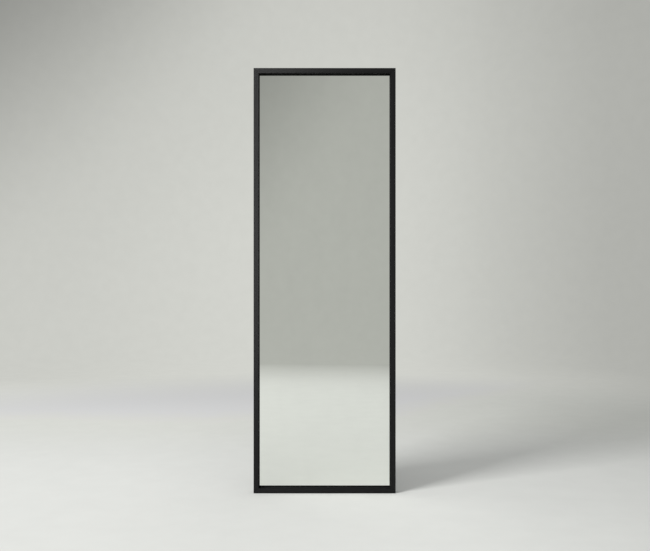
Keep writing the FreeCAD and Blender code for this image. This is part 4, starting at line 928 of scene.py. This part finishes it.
def evened(tree, place, shown, sky):
    """The shown colour divided by the light of the sky and the soft box on the floor."""
    away = node(tree, "ShaderNodeVectorMath", {0: place, 1: soft_box.location}, operation="SUBTRACT")
    facing = soft_box.rotation_euler.to_matrix() @ Vector((0, 0, -1))
    along = node(tree, "ShaderNodeVectorMath", {0: away.outputs[0], 1: facing}, operation="DOT_PRODUCT")
    distance = node(tree, "ShaderNodeVectorMath", {0: away.outputs[0]}, operation="LENGTH")
    faint = node(tree, "ShaderNodeMath", {0: distance.outputs["Value"], 1: -4.0}, operation="POWER")
    share = node(tree, "ShaderNodeMath", {0: along.outputs["Value"], 1: faint.outputs[0]},
                 operation="MULTIPLY")
    strength = soft_box.data.energy * (soft_box.location.z - FLOOR) / math.pi ** 2
    light = node(tree, "ShaderNodeMath", {0: share.outputs[0], 1: strength, 2: sky},
                 operation="MULTIPLY_ADD")
    even = node(tree, "ShaderNodeMath", {0: 1.0, 1: light.outputs[0]}, operation="DIVIDE")
    paint = node(tree, "ShaderNodeVectorMath", {0: shown, "Scale": even.outputs[0]}, operation="SCALE")
    return node(tree, "ShaderNodeVectorMath", {0: paint.outputs[0], 1: (BRIGHTEST,) * 3},
                operation="MINIMUM").outputs[0]


print("light that the even sky gives the floor:", SKY)

# %% [markdown]
# ## Painting the studio
# Far from the object the lit floor gives way to its own tone, shown as it is. Behind the object it also takes
# on the wall's tones before it gets there, so that no horizon shows. The wall casts no shadow and throws no
# light, so the sky lights every side of the object the same.

# %% Painting the studio
LIT_FLOOR = (1.5, 2.5)  # metres from the object, where the lit floor gives way
WALL_BLEND = (1.3, 2.25)  # metres behind it, where the floor takes on the wall's tones


def studio_paint(name, tones, sides, sky=None):
    """Matt paint graded with painted light and shade; with sky the part near the object is lit by the lamps
    and takes the shadow.
    """
    material, tree = finish(name, IOR=1.45, Specular_IOR_Level=0.0, Roughness=1.0)
    shader = tree.nodes["Principled BSDF"]
    place = node(tree, "ShaderNodeTexCoord").outputs["Object"]
    axes = node(tree, "ShaderNodeSeparateXYZ", {0: place}).outputs
    tone = graded(tree, axes, tones, sides)
    if sky:
        behind = node(tree, "ShaderNodeMapRange",
                      {"Value": axes["Y"], "From Min": WALL_BLEND[0], "From Max": WALL_BLEND[1]},
                      interpolation_type="SMOOTHSTEP")
        back = graded(tree, axes, WALL_TONES, WALL_SHADE_ACROSS)
        tone = node(tree, "ShaderNodeMix", {0: behind.outputs[0], 6: tone, 7: back},
                    data_type="RGBA").outputs[2]
    shown = node(tree, "ShaderNodeVectorMath", {0: tone, "Scale": dimmed(tree, place)},
                 operation="SCALE").outputs[0]
    plain = node(tree, "ShaderNodeEmission", {"Color": shown, "Strength": 1.0})
    seen = shown_rays(tree)
    if sky:
        out = node(tree, "ShaderNodeVectorMath", {0: place, 1: (0.0, 0.0, FLOOR)}, operation="DISTANCE")
        far = node(tree, "ShaderNodeMapRange", {"Value": out.outputs["Value"], "From Min": LIT_FLOOR[0],
                                                "From Max": LIT_FLOOR[1]}, interpolation_type="SMOOTHSTEP")
        seen = node(tree, "ShaderNodeMath", {0: seen, 1: far.outputs[0]}, operation="MULTIPLY").outputs[0]
        tree.links.new(evened(tree, place, shown, sky), shader.inputs["Base Color"])
    mixed = node(tree, "ShaderNodeMixShader", {0: seen, 1: shader.outputs[0], 2: plain.outputs[0]})
    tree.links.new(mixed.outputs[0], tree.nodes["Material Output"].inputs["Surface"])
    material.cycles.emission_sampling = "NONE"
    return material


floor = place_object("studio_floor", floor_shape,
                     studio_paint("floor_paint_with_painted_shade", FLOOR_TONES, FLOOR_SHADE_ACROSS, SKY))
wall = place_object("studio_wall", wall_shape, studio_paint("wall_paint_with_painted_shade", WALL_TONES, WALL_SHADE_ACROSS))
for surface in (floor, wall):
    surface.data.shade_smooth()
wall.visible_shadow = False
wall.visible_diffuse = False
